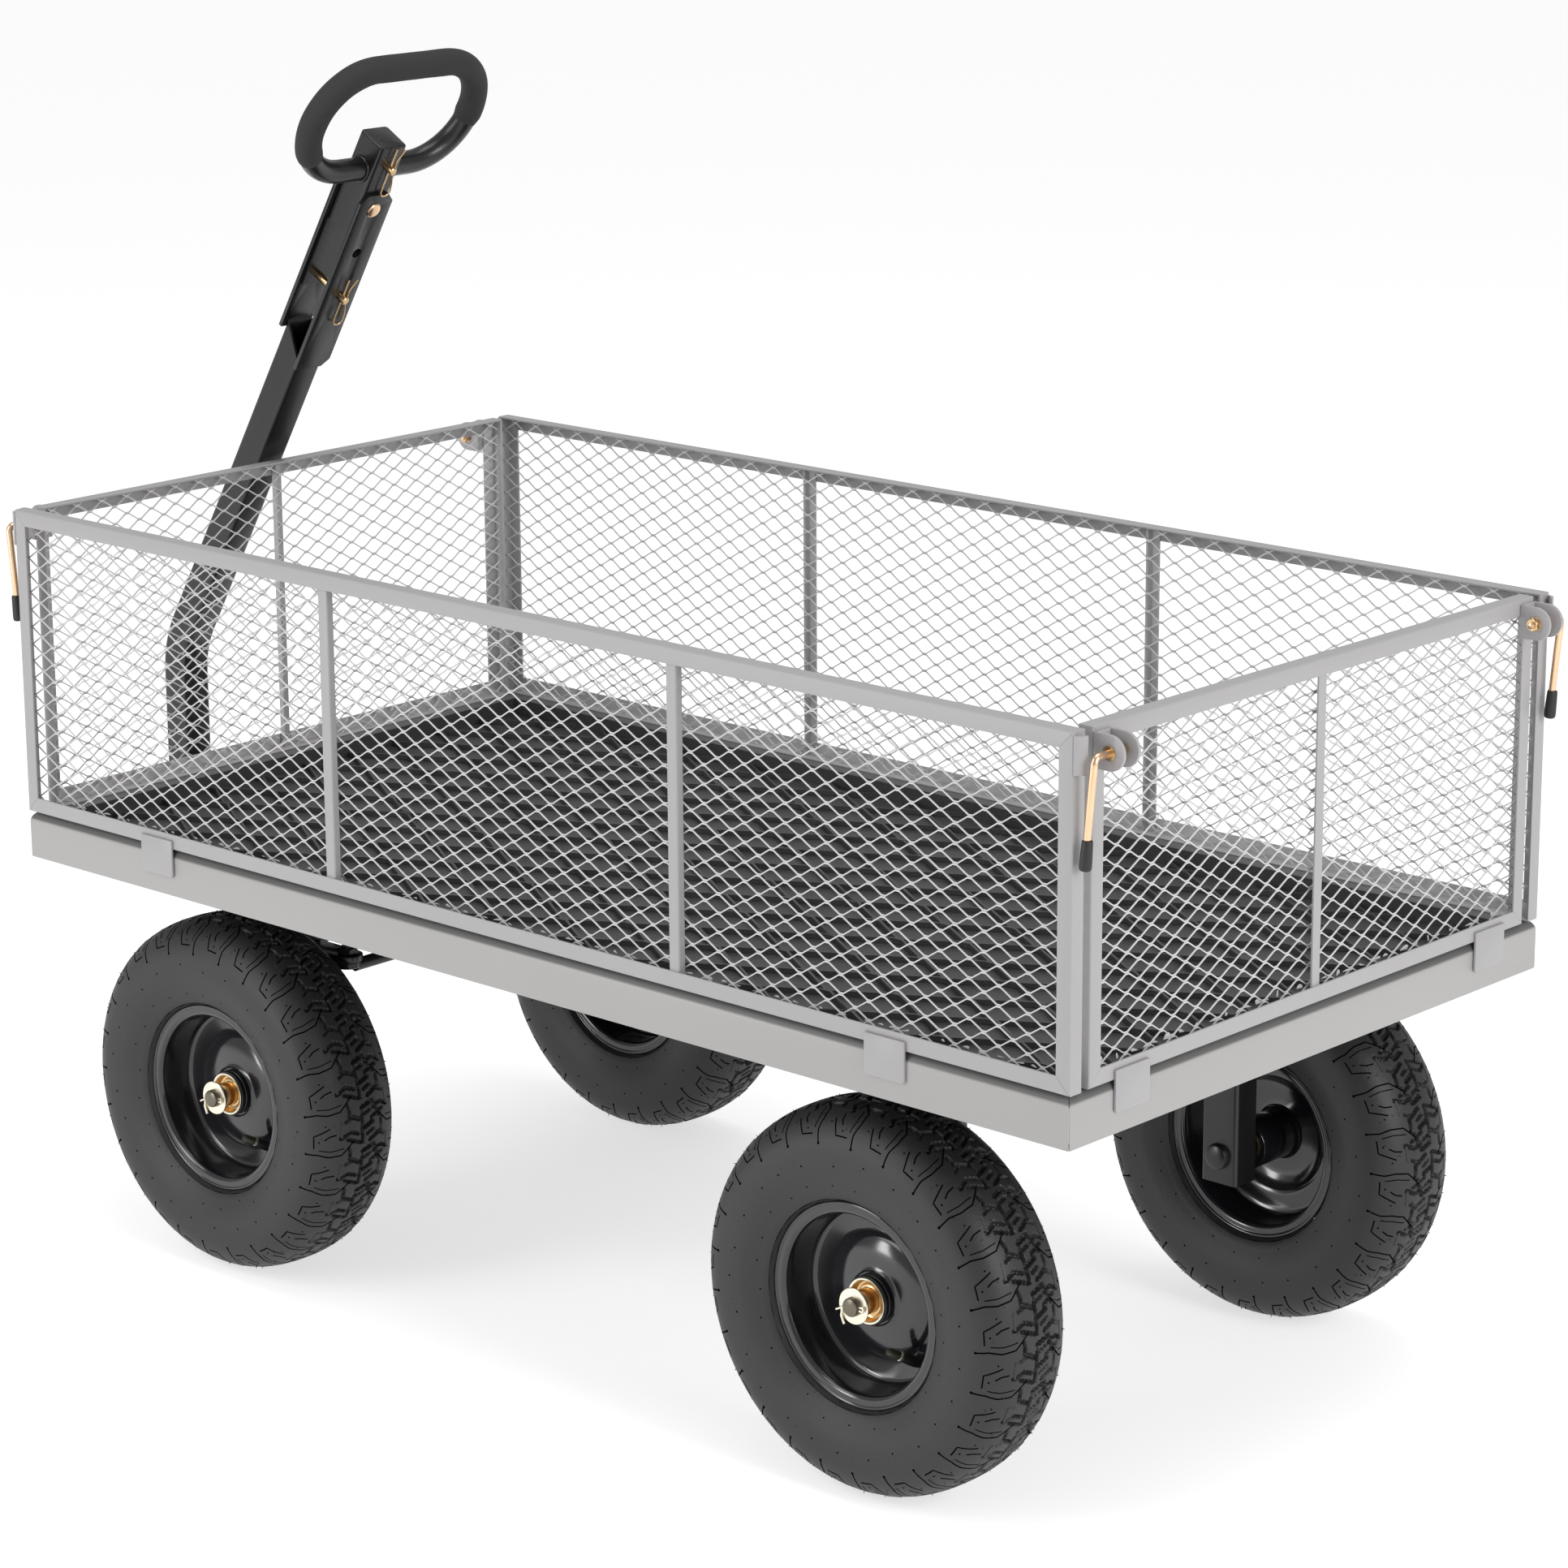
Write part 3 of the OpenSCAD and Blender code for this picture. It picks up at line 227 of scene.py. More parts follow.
# %% Square tubes
def square_tube(bm, width, height, wall, path, side, radius=3.0, cut_end=0.0):
    """Hollow square tube along a path. Its width lies along the side direction."""
    side, path, places = Vector(side), [Vector(p) for p in path], []
    for i, point in enumerate(path):
        before = (point - path[max(i - 1, 0)]).normalized()
        after = (path[min(i + 1, len(path) - 1)] - point).normalized()
        along = (before + after).normalized()
        up = along.cross(side) / max(along.dot(before), along.dot(after))
        places.append(frame_of(point, side, up + along * (cut_end if i == len(path) - 1 else 0), along))
    hole = rounded(width - 2 * wall, height - 2 * wall, max(radius - wall, 0.8))
    sweep(bm, rounded(width, height, radius), places, hole)


print("square tubes ready")


# %% Blocks and plates
def block(bm, low, high, bevel=0.0):
    low, high, part = Vector(low), Vector(high), bmesh.new()
    size = Matrix.Diagonal((*(high - low), 1))
    bmesh.ops.create_cube(part, size=1, matrix=Matrix.Translation((low + high) / 2) @ size)
    if bevel:
        bevel_sharp(part, bevel)
    join(bm, part)


def plate(bm, outline, holes, thick, place, bevel=0.6):
    """A flat plate with round holes, from z = 0 to z = thick, put where the place says."""
    part = bmesh.new()
    edges = ring_of(part, outline)[1]
    for x, y, r in holes:
        edges += ring_of(part, circle(r, 32, x, y))[1]
    bmesh.ops.triangle_fill(part, use_beauty=True, use_dissolve=True, edges=edges)
    grown = bmesh.ops.extrude_face_region(part, geom=part.faces[:])["geom"]
    bmesh.ops.translate(part, vec=(0, 0, thick), verts=only(grown, bmesh.types.BMVert))
    bmesh.ops.recalc_face_normals(part, faces=part.faces)
    bevel_sharp(part, bevel)
    join(bm, part, place)


def trim(bm, point, out, dist=0.0):
    """Cuts away what lies beyond a plane, and gives the edges of the cut."""
    cut = bmesh.ops.bisect_plane(bm, geom=bm.verts[:] + bm.edges[:] + bm.faces[:], dist=dist,
                                 plane_co=point, plane_no=out, clear_outer=True)["geom_cut"]
    return only(cut, bmesh.types.BMEdge)


print("blocks and plates ready")


# %% Turned parts
def lathe(bm, profile, steps, closed=False, place=UNTURNED):
    """Spins a profile of (radius, height) round the +Y axis."""
    part = bmesh.new()
    verts = [part.verts.new((r, height, 0)) for r, height in profile]
    for pair in zip(verts, verts[1:] + verts[:1] if closed else verts[1:]):
        part.edges.new(pair)
    bmesh.ops.spin(part, geom=part.verts[:] + part.edges[:], cent=(0, 0, 0), axis=(0, 1, 0),
                   angle=math.tau, steps=steps, use_merge=True, use_duplicate=False)
    bmesh.ops.remove_doubles(part, verts=part.verts, dist=1e-4)
    join(bm, part, place)


def pin(bm, start, end, radius, chamfer=0.5, steps=24, bore=0.0):
    """A round pin, or a ring if it has a bore, with both ends chamfered."""
    length, c = (Vector(end) - Vector(start)).length, chamfer
    profile = [(bore, 0), (radius - c, 0), (radius, c),
               (radius, length - c), (radius - c, length), (bore, length)]
    lathe(bm, profile, steps, closed=bore > 0, place=towards(start, end))


print("turned parts ready")


# %% Nuts and welds
def hexagon(bm, start, end, flats, bore=0.0, chamfer=1.2):
    """A nut or bolt head: a turned disc with chamfered ends, cut by six planes."""
    length, part = (Vector(end) - Vector(start)).length, bmesh.new()
    corner, face = flats / math.sqrt(3), flats * 0.48
    profile = [(bore, 0), (face, 0), (corner, chamfer),
               (corner, length - chamfer), (face, length), (bore, length)]
    lathe(part, profile, 48, closed=bore > 0)
    for k in range(6):
        out = Vector((math.cos(k * math.pi / 3), 0, math.sin(k * math.pi / 3)))
        bmesh.ops.edgenet_fill(part, edges=trim(part, out * flats / 2, out, 1e-4))
    join(bm, part, towards(start, end))


def weld_ring(bm, radius, bead, place):
    """A round weld, such as the one round the end of a tube."""
    lathe(bm, circle(bead, 8, radius), 40, closed=True, place=place)


def weld(bm, start, end, radius, seed):
    """A short weld bead: one rod whose width wanders a little."""
    rng, start, end = random.Random(seed), Vector(start), Vector(end)
    count = max(3, int((end - start).length / (radius * 0.9)))
    radii = [radius * rng.uniform(0.85, 1.15) for _ in range(count + 1)]
    radii[0] = radii[-1] = radius * 0.35
    rod(bm, [start.lerp(end, i / count) for i in range(count + 1)], radius, 8, radii)


print("nuts and welds ready")

# %% [markdown]
# ## Finishes
# The skirt and the panels are powder coated: a fine orange peel under a soft sheen. The floor has
# a darker, coarser coat, the running gear a glossy black one. Tyres are matt rubber, and the small
# fittings are steel with a plating of zinc or copper. One node group gives all of them a slight
# unevenness: a broad change of tone and shine, and a fine grain that only bends the surface normal.
# A second group paints shade into a band between two heights: the shade in the seam where the panels stand on
# the skirt.

# %% Node tools
def node_group(name, inputs, outputs):
    group = bpy.data.node_groups.new(name, "ShaderNodeTree")
    for label, kind, value in inputs:
        socket = group.interface.new_socket(label, in_out="INPUT", socket_type="NodeSocket" + kind)
        socket.default_value = value
    for label, kind in outputs:
        group.interface.new_socket(label, in_out="OUTPUT", socket_type="NodeSocket" + kind)
    return group, group.nodes.new("NodeGroupInput").outputs, group.nodes.new("NodeGroupOutput").inputs


def math_node(group, operation, *values):
    """A math node whose inputs are numbers or sockets; gives its output."""
    node = group.nodes.new("ShaderNodeMath")
    node.operation = operation
    for socket, value in zip(node.inputs, values):
        if isinstance(value, (int, float)):
            socket.default_value = value
        else:
            group.links.new(value, socket)
    return node.outputs[0]


def noise_node(group, at, scale, detail):
    node = group.nodes.new("ShaderNodeTexNoise")
    node.inputs["Detail"].default_value = detail
    group.links.new(at, node.inputs["Vector"])
    group.links.new(scale, node.inputs["Scale"])
    return node.outputs["Fac"]


def scale_color(group, color, factor):
    node = group.nodes.new("ShaderNodeVectorMath")
    node.operation = "SCALE"
    group.links.new(color, node.inputs[0])
    group.links.new(factor, node.inputs["Scale"])
    return node.outputs[0]


print("node tools ready")

# %% Fine surface
SURFACE, given, result = node_group("Fine surface", [
    ("Color", "Color", (0.5, 0.5, 0.5, 1)), ("Tone change", "Float", 0.05), ("Tone size", "Float", 6.0),
    ("Grain size", "Float", 900.0), ("Grain depth", "Float", 0.1), ("Shine", "Float", 0.4),
    ("Shine change", "Float", 0.06)], [("Color", "Color"), ("Roughness", "Float"), ("Normal", "Vector")])
at, link = SURFACE.nodes.new("ShaderNodeTexCoord").outputs["Object"], SURFACE.links.new
broad = math_node(SURFACE, "SUBTRACT", noise_node(SURFACE, at, given["Tone size"], 4), 0.5)
tone = math_node(SURFACE, "MULTIPLY_ADD", broad, given["Tone change"], 1.0)
link(scale_color(SURFACE, given["Color"], tone), result["Color"])
link(math_node(SURFACE, "MULTIPLY_ADD", broad, given["Shine change"], given["Shine"]), result["Roughness"])
bump = SURFACE.nodes.new("ShaderNodeBump")
bump.inputs["Distance"].default_value = 0.0006
link(noise_node(SURFACE, at, given["Grain size"], 3), bump.inputs["Height"])
link(given["Grain depth"], bump.inputs["Strength"])
link(bump.outputs["Normal"], result["Normal"])
print("inputs", len(given) - 1)

# %% Painted seam shade
SHADE_BAND, given, result = node_group("Painted seam shade", [
    ("Color", "Color", (0.5, 0.5, 0.5, 1)), ("Low", "Float", 0.39), ("High", "Float", 0.40),
    ("Soft", "Float", 0.002), ("Depth", "Float", 0.5)], [("Color", "Color")])
split, link = SHADE_BAND.nodes.new("ShaderNodeSeparateXYZ"), SHADE_BAND.links.new
link(SHADE_BAND.nodes.new("ShaderNodeTexCoord").outputs["Object"], split.inputs[0])
height = split.outputs["Z"]
rise = math_node(SHADE_BAND, "DIVIDE", math_node(SHADE_BAND, "SUBTRACT", height, given["Low"]), given["Soft"])
fall = math_node(SHADE_BAND, "DIVIDE", math_node(SHADE_BAND, "SUBTRACT", given["High"], height), given["Soft"])
inside = math_node(SHADE_BAND, "MINIMUM", math_node(SHADE_BAND, "MINIMUM", rise, fall), 1.0)
inside = math_node(SHADE_BAND, "MAXIMUM", inside, 0.0)
keep = math_node(SHADE_BAND, "SUBTRACT", 1.0, math_node(SHADE_BAND, "MULTIPLY", inside, given["Depth"]))
link(scale_color(SHADE_BAND, given["Color"], keep), result["Color"])
print("finish groups", len(bpy.data.node_groups))


# %% Finish maker
SLOTS, COAT_SHINE = {}, 0.12
SURFACE_INPUTS = ("Color", "Tone change", "Tone size", "Grain size", "Grain depth", "Shine", "Shine change")


def set_inputs(node, names, values):
    """Sets several of a node's inputs by name."""
    for name, value in zip(names, values):
        node.inputs[name].default_value = value


def finish(name, slot, color, shine, metal=0.0, coat=0.0, tone=0.06, tone_size=6.0, grain=900.0,
           depth=0.1, shine_change=0.08, band=None, mirror=0.5):
    """A finish, and the slot of the cart that it belongs to."""
    material = bpy.data.materials.new(name)
    material.use_nodes, SLOTS[name] = True, slot
    nodes, link = material.node_tree.nodes, material.node_tree.links.new
    shader, group = nodes["Principled BSDF"], nodes.new("ShaderNodeGroup")
    group.node_tree = SURFACE
    set_inputs(group, SURFACE_INPUTS, ((*color, 1), tone, tone_size, grain, depth, shine, shine_change))
    paint = group.outputs["Color"]
    # A band, if given, is painted shade: the colour darkens between two heights.
    if band:
        dark = nodes.new("ShaderNodeGroup")
        dark.node_tree = SHADE_BAND
        set_inputs(dark, ("Low", "High", "Soft", "Depth"), band)
        link(paint, dark.inputs["Color"])
        paint = dark.outputs["Color"]
    link(paint, shader.inputs["Base Color"])
    for socket in ("Roughness", "Normal"):
        link(group.outputs[socket], shader.inputs[socket])
    set_inputs(shader, ("Metallic", "Specular IOR Level", "Coat Weight", "Coat Roughness"),
               (metal, mirror, coat, COAT_SHINE))
    return material


print("finish maker ready")

# %% Sixteen finishes
# Painted shade in the seam under the panels: its lower and upper edge and softness in metres, and how dark it
# is.
SEAM_SHADE = (0.3888, 0.3990, 0.0020, 0.68)
PLATED = {"metal": 1.0, "grain": 300}
SKIRT = finish("Skirt powder coat", "skirt_paint", (0.348, 0.342, 0.336), 0.42, grain=700, depth=0.12,
               band=SEAM_SHADE)
PANEL = finish("Panel powder coat", "panel_paint", (0.352, 0.344, 0.350), 0.40, grain=700, depth=0.12)
MESH = finish("Mesh powder coat", "mesh_paint", (0.55, 0.54, 0.55), 0.38, grain=500)
FLOOR = finish("Floor powder coat", "floor_paint", (0.042, 0.040, 0.041), 0.42, grain=500, depth=0.3,
               tone=0.6, tone_size=16)
BLACK = finish("Black powder coat", "black_paint", (0.008, 0.008, 0.009), 0.28, grain=600, depth=0.12,
               tone=0.3)
RIM = finish("Rim enamel", "rim_paint", (0.008, 0.008, 0.010), 0.16, coat=0.5, grain=200, depth=0.0,
             tone=0.2, shine_change=0.02)
RUBBER = finish("Tyre rubber", "tyre_rubber", (0.017, 0.016, 0.017), 0.50, grain=420, depth=0.3,
                tone=0.5, tone_size=16)
# Near-black with no reflection: painted shade in the sipes and painted shadows of the hair stubs.
CUT_SHADE = finish("Tyre cut shade", "tyre_rubber", (0.002, 0.002, 0.002), 0.9, depth=0.0, mirror=0.0)
SEAL = finish("Hub rubber", "hub_black", (0.008, 0.008, 0.008), 0.38)
FOAM = finish("Grip foam", "grip_foam", (0.020, 0.020, 0.021), 0.78, grain=1600, depth=0.8,
              tone=0.3, tone_size=30)
GOLD = finish("Yellow zinc", "zinc_fittings", (0.66, 0.47, 0.25), 0.24, depth=0.08,
              tone=0.25, tone_size=60, **PLATED)
PALE = finish("Pale zinc", "zinc_fittings", (0.86, 0.80, 0.66), 0.28, depth=0.08,
              tone=0.15, tone_size=60, **PLATED)
COPPER = finish("Copper plate", "copper_plate", (0.82, 0.56, 0.36), 0.26, depth=0.06,
                tone=0.25, tone_size=50, **PLATED)
STEEL = finish("Oiled steel", "zinc_fittings", (0.16, 0.145, 0.11), 0.34, **PLATED)
CAP = finish("Valve cap", "hub_black", (0.020, 0.022, 0.012), 0.34, depth=0.2)
TIP = finish("Tip rubber", "tip_rubber", (0.010, 0.010, 0.010), 0.5, depth=0.2)
print("finishes", len(bpy.data.materials))

# %% [markdown]
# ## Skirt
# Round the bed runs a skirt of folded sheet steel: hemmed at its lower edge, rolled over a
# shoulder and dropped inside to carry the floor. A press brake would make each rail from one
# strip. Each one is swept here from its section and cut at 45 degrees where it meets the next.

# %% Skirt rails
rail_low, rail_high = box_mm("rail_left")
floor_low, floor_high = box_mm("bed_floor")
BED_L, BED_W = rail_high.x - rail_low.x, -2 * rail_low.y
SKIRT_Z, RAIL_Z, FLOOR_BOTTOM, FLOOR_TOP = rail_low.z, rail_high.z, floor_low.z, floor_high.z
RAIL_TOP, SHOULDER, SHEET, FLANGE, HEM, MITRE_GAP, SHELF_GAP = 24.0, 10.0, 2.0, 12.0, 10.0, 0.3, 0.5
SIDES = {"left": (0, BED_W / 2), "right": (180, BED_W / 2),
         "front": (-90, BED_L / 2), "rear": (90, BED_L / 2)}


def on_side(side, lift=0.0, overhang=0.0):
    """From a side's own space (x along it, y inwards from its outer face) to the bed."""
    angle, half = SIDES[side]
    return turned(angle, "Z") @ shift(0, -half - overhang, lift)


shelf, inner = FLOOR_BOTTOM - SHELF_GAP, SHOULDER - SHEET
roll_z, far_roll = RAIL_Z - SHOULDER, RAIL_TOP - SHOULDER
rail_section = ([(HEM, SKIRT_Z), (1.2, SKIRT_Z), (0.3, SKIRT_Z + 0.4), (0, SKIRT_Z + 1.4)]
                + arc(SHOULDER, roll_z, SHOULDER, 180, 90, 8) + arc(far_roll, roll_z, SHOULDER, 90, 0, 8)
                + [(RAIL_TOP, shelf), (RAIL_TOP + FLANGE, shelf), (RAIL_TOP + FLANGE, shelf - SHEET),
                   (RAIL_TOP - SHEET, shelf - SHEET)]
                + arc(far_roll, roll_z, inner, 0, 90, 6) + arc(SHOULDER, roll_z, inner, 90, 180, 6)
                + [(SHEET, SKIRT_Z + SHEET), (HEM, SKIRT_Z + SHEET)])
for side, length in (("left", BED_L), ("right", BED_L), ("front", BED_W), ("rear", BED_W)):
    bm, half = bmesh.new(), length / 2 - MITRE_GAP
    bar(bm, rail_section, (-half, 0, 0), (half, 0, 0), Y, Z, (1, 0), (-1, 0))
    bevel_sharp(bm, 0.5, 2, angle=60)
    finish_piece(f"skirt_{side}", bm, "bed", SKIRT, [f"rail_{side}"], place=on_side(side))
print("bed", BED_L, "x", BED_W, "mm, skirt from", round(SKIRT_Z, 1), "to", round(RAIL_Z, 1))

# %% [markdown]
# ## Expanded metal
# A sheet is slit and stretched, so that it opens into rows of diamonds. What is left of it is a
# zigzag strand between two rows of slits, bonded to its neighbours at every bend and leaning a
# little out of the sheet. One strand is swept, copied row by row and trimmed at the four sides.
# The press also leaves small torn flaps along the cut edge, which show over the lower frame bar.

# %% Rows of strands
def zigzag_sheet(bm, width, height, long_way, short_way, strand, thick, bond, lean, phase=(0.0, 0.0)):
    """A sheet of zigzag strands. Its diamonds are long_way by short_way, from one bend to the next."""
    half_l, half_s, part, places = long_way / 2, short_way / 2, bmesh.new(), []
    columns, rows = int(width / long_way) + 2, int(height / short_way) + 2
    for i in range(-columns, columns + 1):
        y, z = (strand / 2, lean) if i % 2 == 0 else (half_s - strand / 2, -lean)
        places += [frame_of((i * half_l + dx, y, z), Y, Z, X) for dx in (-bond / 2, bond / 2)]
    sweep(part, rectangle(strand, thick), places)
    join(bm, part, *[shift(phase[0] + j % 2 * half_l, phase[1] + j * half_s, 0)
                     for j in range(-rows, rows + 1)])
    for out, reach in ((-X, width), (X, width), (-Y, height), (Y, height)):
        trim(bm, out * reach / 2, out)


def torn_flaps(bm, width, low, reach, pitch, seed):
    """Small uneven flaps of sheet along the lower edge of a mesh."""
    rng, x = random.Random(seed), -width / 2 + pitch
    while x < width / 2 - pitch:
        wide, tall = pitch * rng.uniform(0.08, 0.3), reach * rng.uniform(0.3, 1.0)
        skew, notch = pitch * rng.uniform(-0.2, 0.2), tall * rng.uniform(0.5, 0.9)
        outline = [(-wide, low), (wide, low), (wide * 0.7 + skew, low + tall * 0.7),
                   (skew + wide * 0.2, low + tall), (skew - wide * 0.6, low + notch)]
        place = shift(x, 0, rng.uniform(-1.6, 1.6)) @ turned(rng.uniform(-20, 20), "Y")
        plate(bm, outline, [], 0.6, place, 0.1)
        x += pitch * rng.uniform(0.8, 1.7)


print("strands ready")

# %% Four meshes
PANEL_H, LEG, ANGLE_T, OVERHANG, END_GAP = 284.0, 14.0, 2.0, 0.5, 9.0
MESH_Y, MESH_GAP, DIAMOND_L, DIAMOND_H = 9.8, 2.5, 29.3, 16.1
PANEL_Z = box_mm("panel_left")[1].z - PANEL_H
SIDE_L, END_W = BED_L + 2 * OVERHANG, 2 * (BED_W / 2 + OVERHANG - LEG - END_GAP)
LENGTH = {"left": SIDE_L, "right": SIDE_L, "front": END_W, "rear": END_W}
BODY = {"left": "left_side", "right": "right_side", "front": "bed", "rear": "rear_gate"}
FLAPS = {SIDE_L: 2.0, END_W: 5.5}
for side, length in LENGTH.items():
    bm = bmesh.new()
    zigzag_sheet(bm, length - 2 * MESH_GAP, PANEL_H - 2 * MESH_GAP, DIAMOND_L, DIAMOND_H,
                 strand=1.25, thick=0.9, bond=4.0, lean=0.35)
    torn_flaps(bm, length - 2 * LEG, LEG - 1.5 - PANEL_H / 2, FLAPS[length], DIAMOND_L / 2, f"flaps {side}")
    place = on_side(side, PANEL_Z, OVERHANG) @ frame_of((0, MESH_Y, PANEL_H / 2), X, Z, Y)
    piece = finish_piece(f"mesh_{side}", bm, BODY[side], MESH, angle=50, place=place)
    print("mesh", side, "faces", len(piece.data.polygons))

# %% [markdown]
# ## Floor
# The bed's floor is a pressed black sheet with a raised diamond pattern, dropped inside the skirt.
# A thin upturned strip of the floor's dark coat stands against the rails' inner faces. The pattern
# uses the same zigzag rows as the sides, wider and lower, standing on a flat sheet.

# %% Floor pan
INNER_X, INNER_Y = BED_L / 2 - RAIL_TOP - 0.2, BED_W / 2 - RAIL_TOP - 0.2
RIB_H, PAN_Z, LIP, LIP_BOTTOM, LIP_TOP = 4.6, FLOOR_BOTTOM + 0.05, 0.8, FLOOR_BOTTOM + 0.1, RAIL_Z - 1.5
bm = bmesh.new()
zigzag_sheet(bm, 2 * INNER_X, 2 * INNER_Y, long_way=102.0, short_way=59.0,
             strand=3.0, thick=RIB_H, bond=9.0, lean=0.0, phase=(20, 4))
bm.transform(shift(0, 0, FLOOR_TOP - RIB_H / 2))
block(bm, (-INNER_X, -INNER_Y, PAN_Z), (INNER_X, INNER_Y, FLOOR_BOTTOM + 0.5))
for sign in (-1, 1):
    low_x, low_y = sign * INNER_X - LIP * (sign > 0), sign * INNER_Y - LIP * (sign > 0)
    block(bm, (-INNER_X, low_y, LIP_BOTTOM), (INNER_X, low_y + LIP, LIP_TOP))
    block(bm, (low_x, -INNER_Y, LIP_BOTTOM), (low_x + LIP, INNER_Y, LIP_TOP))
finish_piece("floor_pan", bm, "bed", FLOOR, ["bed_floor"], angle=40)
print("floor top at", round(FLOOR_TOP, 1), "mm")

# %% [markdown]
# ## Side panels
# Each side is a frame of steel angle, mitred and welded at the corners, with uprights of lighter
# angle in front of the mesh and two bent tabs that hang over the skirt. Long sides also carry the
# curled catches beside the latches. Bars, plates and weld beads follow that construction.

# %% Panel frames
def angle_section(a, b, t=ANGLE_T):
    """Angle steel with its heel at the origin and its legs along both axes."""
    return ([(a, 0)] + arc(a - 0.5, t - 0.5, 0.5, 0, 90, 2) + arc(t + 1.6, t + 1.6, 1.6, 270, 180, 3)
            + arc(t - 0.5, b - 0.5, 0.5, 0, 90, 2) + [(0, b)] + arc(1.6, 1.6, 1.6, 180, 270, 4))


CATCH, CATCH_LOW, CATCH_HIGH = arc(0, 0, 7.9, 0, 90, 8) + arc(0, 0, 5.4, 90, 0, 8), 251, 281
TAB, TAB_T = [(-21, 8.5), (21, 8.5)] + arc(18, -23, 3, 0, -90, 4) + arc(-18, -23, 3, 270, 180, 4), 2.5
CATCH_Y, UPRIGHT_LEG, UPRIGHT_W, UPRIGHT_Y, CORNER_BEAD, BAR_BEAD = 8, 7.0, 11.0, 2, 0.9, 0.6
UPRIGHTS, TABS = {SIDE_L: (-206.5, 206.5), END_W: (0,)}, {SIDE_L: (-436, 436), END_W: (-240, 240)}
for side, length in LENGTH.items():
    half, top, rail, bm = length / 2, PANEL_H, angle_section(LEG, LEG), bmesh.new()
    for z, up in ((0, Z), (top, -Z)):
        bar(bm, rail, (-half, 0, z), (half, 0, z), Y, up, (0, 1), (0, -1))
    for end in (-1, 1):
        bar(bm, rail, (end * half, 0, 0), (end * half, 0, top), -end * X, Y, (1, 0), (-1, 0))
        for z, step in ((LEG, 3), (top - LEG, -3)):
            x = end * (half - 3)
            weld(bm, (x, 3, z + step), (x, 12, z), CORNER_BEAD, f"{side}{end}{z}")
    for x in UPRIGHTS[length]:
        edge = x + UPRIGHT_W / 2
        low, high = (edge, UPRIGHT_Y, ANGLE_T), (edge, UPRIGHT_Y, top - ANGLE_T)
        bar(bm, angle_section(UPRIGHT_LEG, UPRIGHT_W), low, high, Y, -X)
        for z in (LEG, top - LEG):
            weld(bm, (x - 5, 1.8, z), (x + 5, 1.8, z), BAR_BEAD, f"bar{side}{x}{z}")
    bevel_sharp(bm, 0.35, 1, angle=70)
    for x in TABS[length]:
        plate(bm, TAB, [], TAB_T, frame_of((x, 0, 0), X, Z, -Y), 0.7)
    for end in ((-1, 1) if length == SIDE_L else ()):
        bar(bm, CATCH, (end * half, CATCH_Y, CATCH_LOW), (end * half, CATCH_Y, CATCH_HIGH), end * X, -Y)
    finish_piece(f"panel_{side}", bm, BODY[side], PANEL, angle=40, place=on_side(side, PANEL_Z, OVERHANG))
print("panels stand from", round(PANEL_Z, 1), "to", round(PANEL_Z + PANEL_H, 1), "mm")

# %% [markdown]
# ## Latches
# A copper plated wire turns in a folded U bracket at each corner, held by a nut. Its bent arm
# hangs beside the long panel's catch and ends in a dipped rubber tip. The bracket is two ears and
# a web, the wire is a rod along a bent path, and the tip is turned round it.

# %% Latch sizes
EAR_Y, EAR_T, EAR_SPAN, EAR_R, REACH = END_W / 2, 3.0, 20.5, 14.0, 15.5
FAR_EAR, NUT_IN = EAR_Y - EAR_SPAN + EAR_T, EAR_Y - EAR_SPAN - 5.3
NUT_T, NUT_FLATS, NUT_BORE, WASHER_R = 4.6, 10, 2.9, 5.9
LATCH_X, LATCH_Z = BED_L / 2 + OVERHANG + REACH, PANEL_Z + PANEL_H - 18
LEVER_Y, LEVER_R, LEVER_L, SWAY = BED_W / 2 + OVERHANG - 5.5, 3.0, 88.0, -7.5
BEND_TURN, HOLE_GAP, WEB_IN = 2 * LEVER_R, 0.25, 0.05
ENDS, HANDS = {"front": -1, "rear": 1}, {"left": -1, "right": 1}
EAR = [(-REACH + 0.5, -EAR_R)] + arc(0, 0, EAR_R, -90, 90, 20) + [(-REACH + 0.5, EAR_R)]
TIP_SHAPE = [(0, 0), (3.2, 0), (4.3, 0.5), (4.85, 1.8), (5.0, 4), (4.7, 14), (4.35, 22.5),
             (4.0, 23.6), (LEVER_R, 24)]


def upright(y):
    """Stands a plate up: its outline lies in x and z, its thickness runs from y towards -y."""
    return frame_of((0, y, 0), X, Z, -Y)


print("latch height", round(LATCH_Z, 1), "mm")

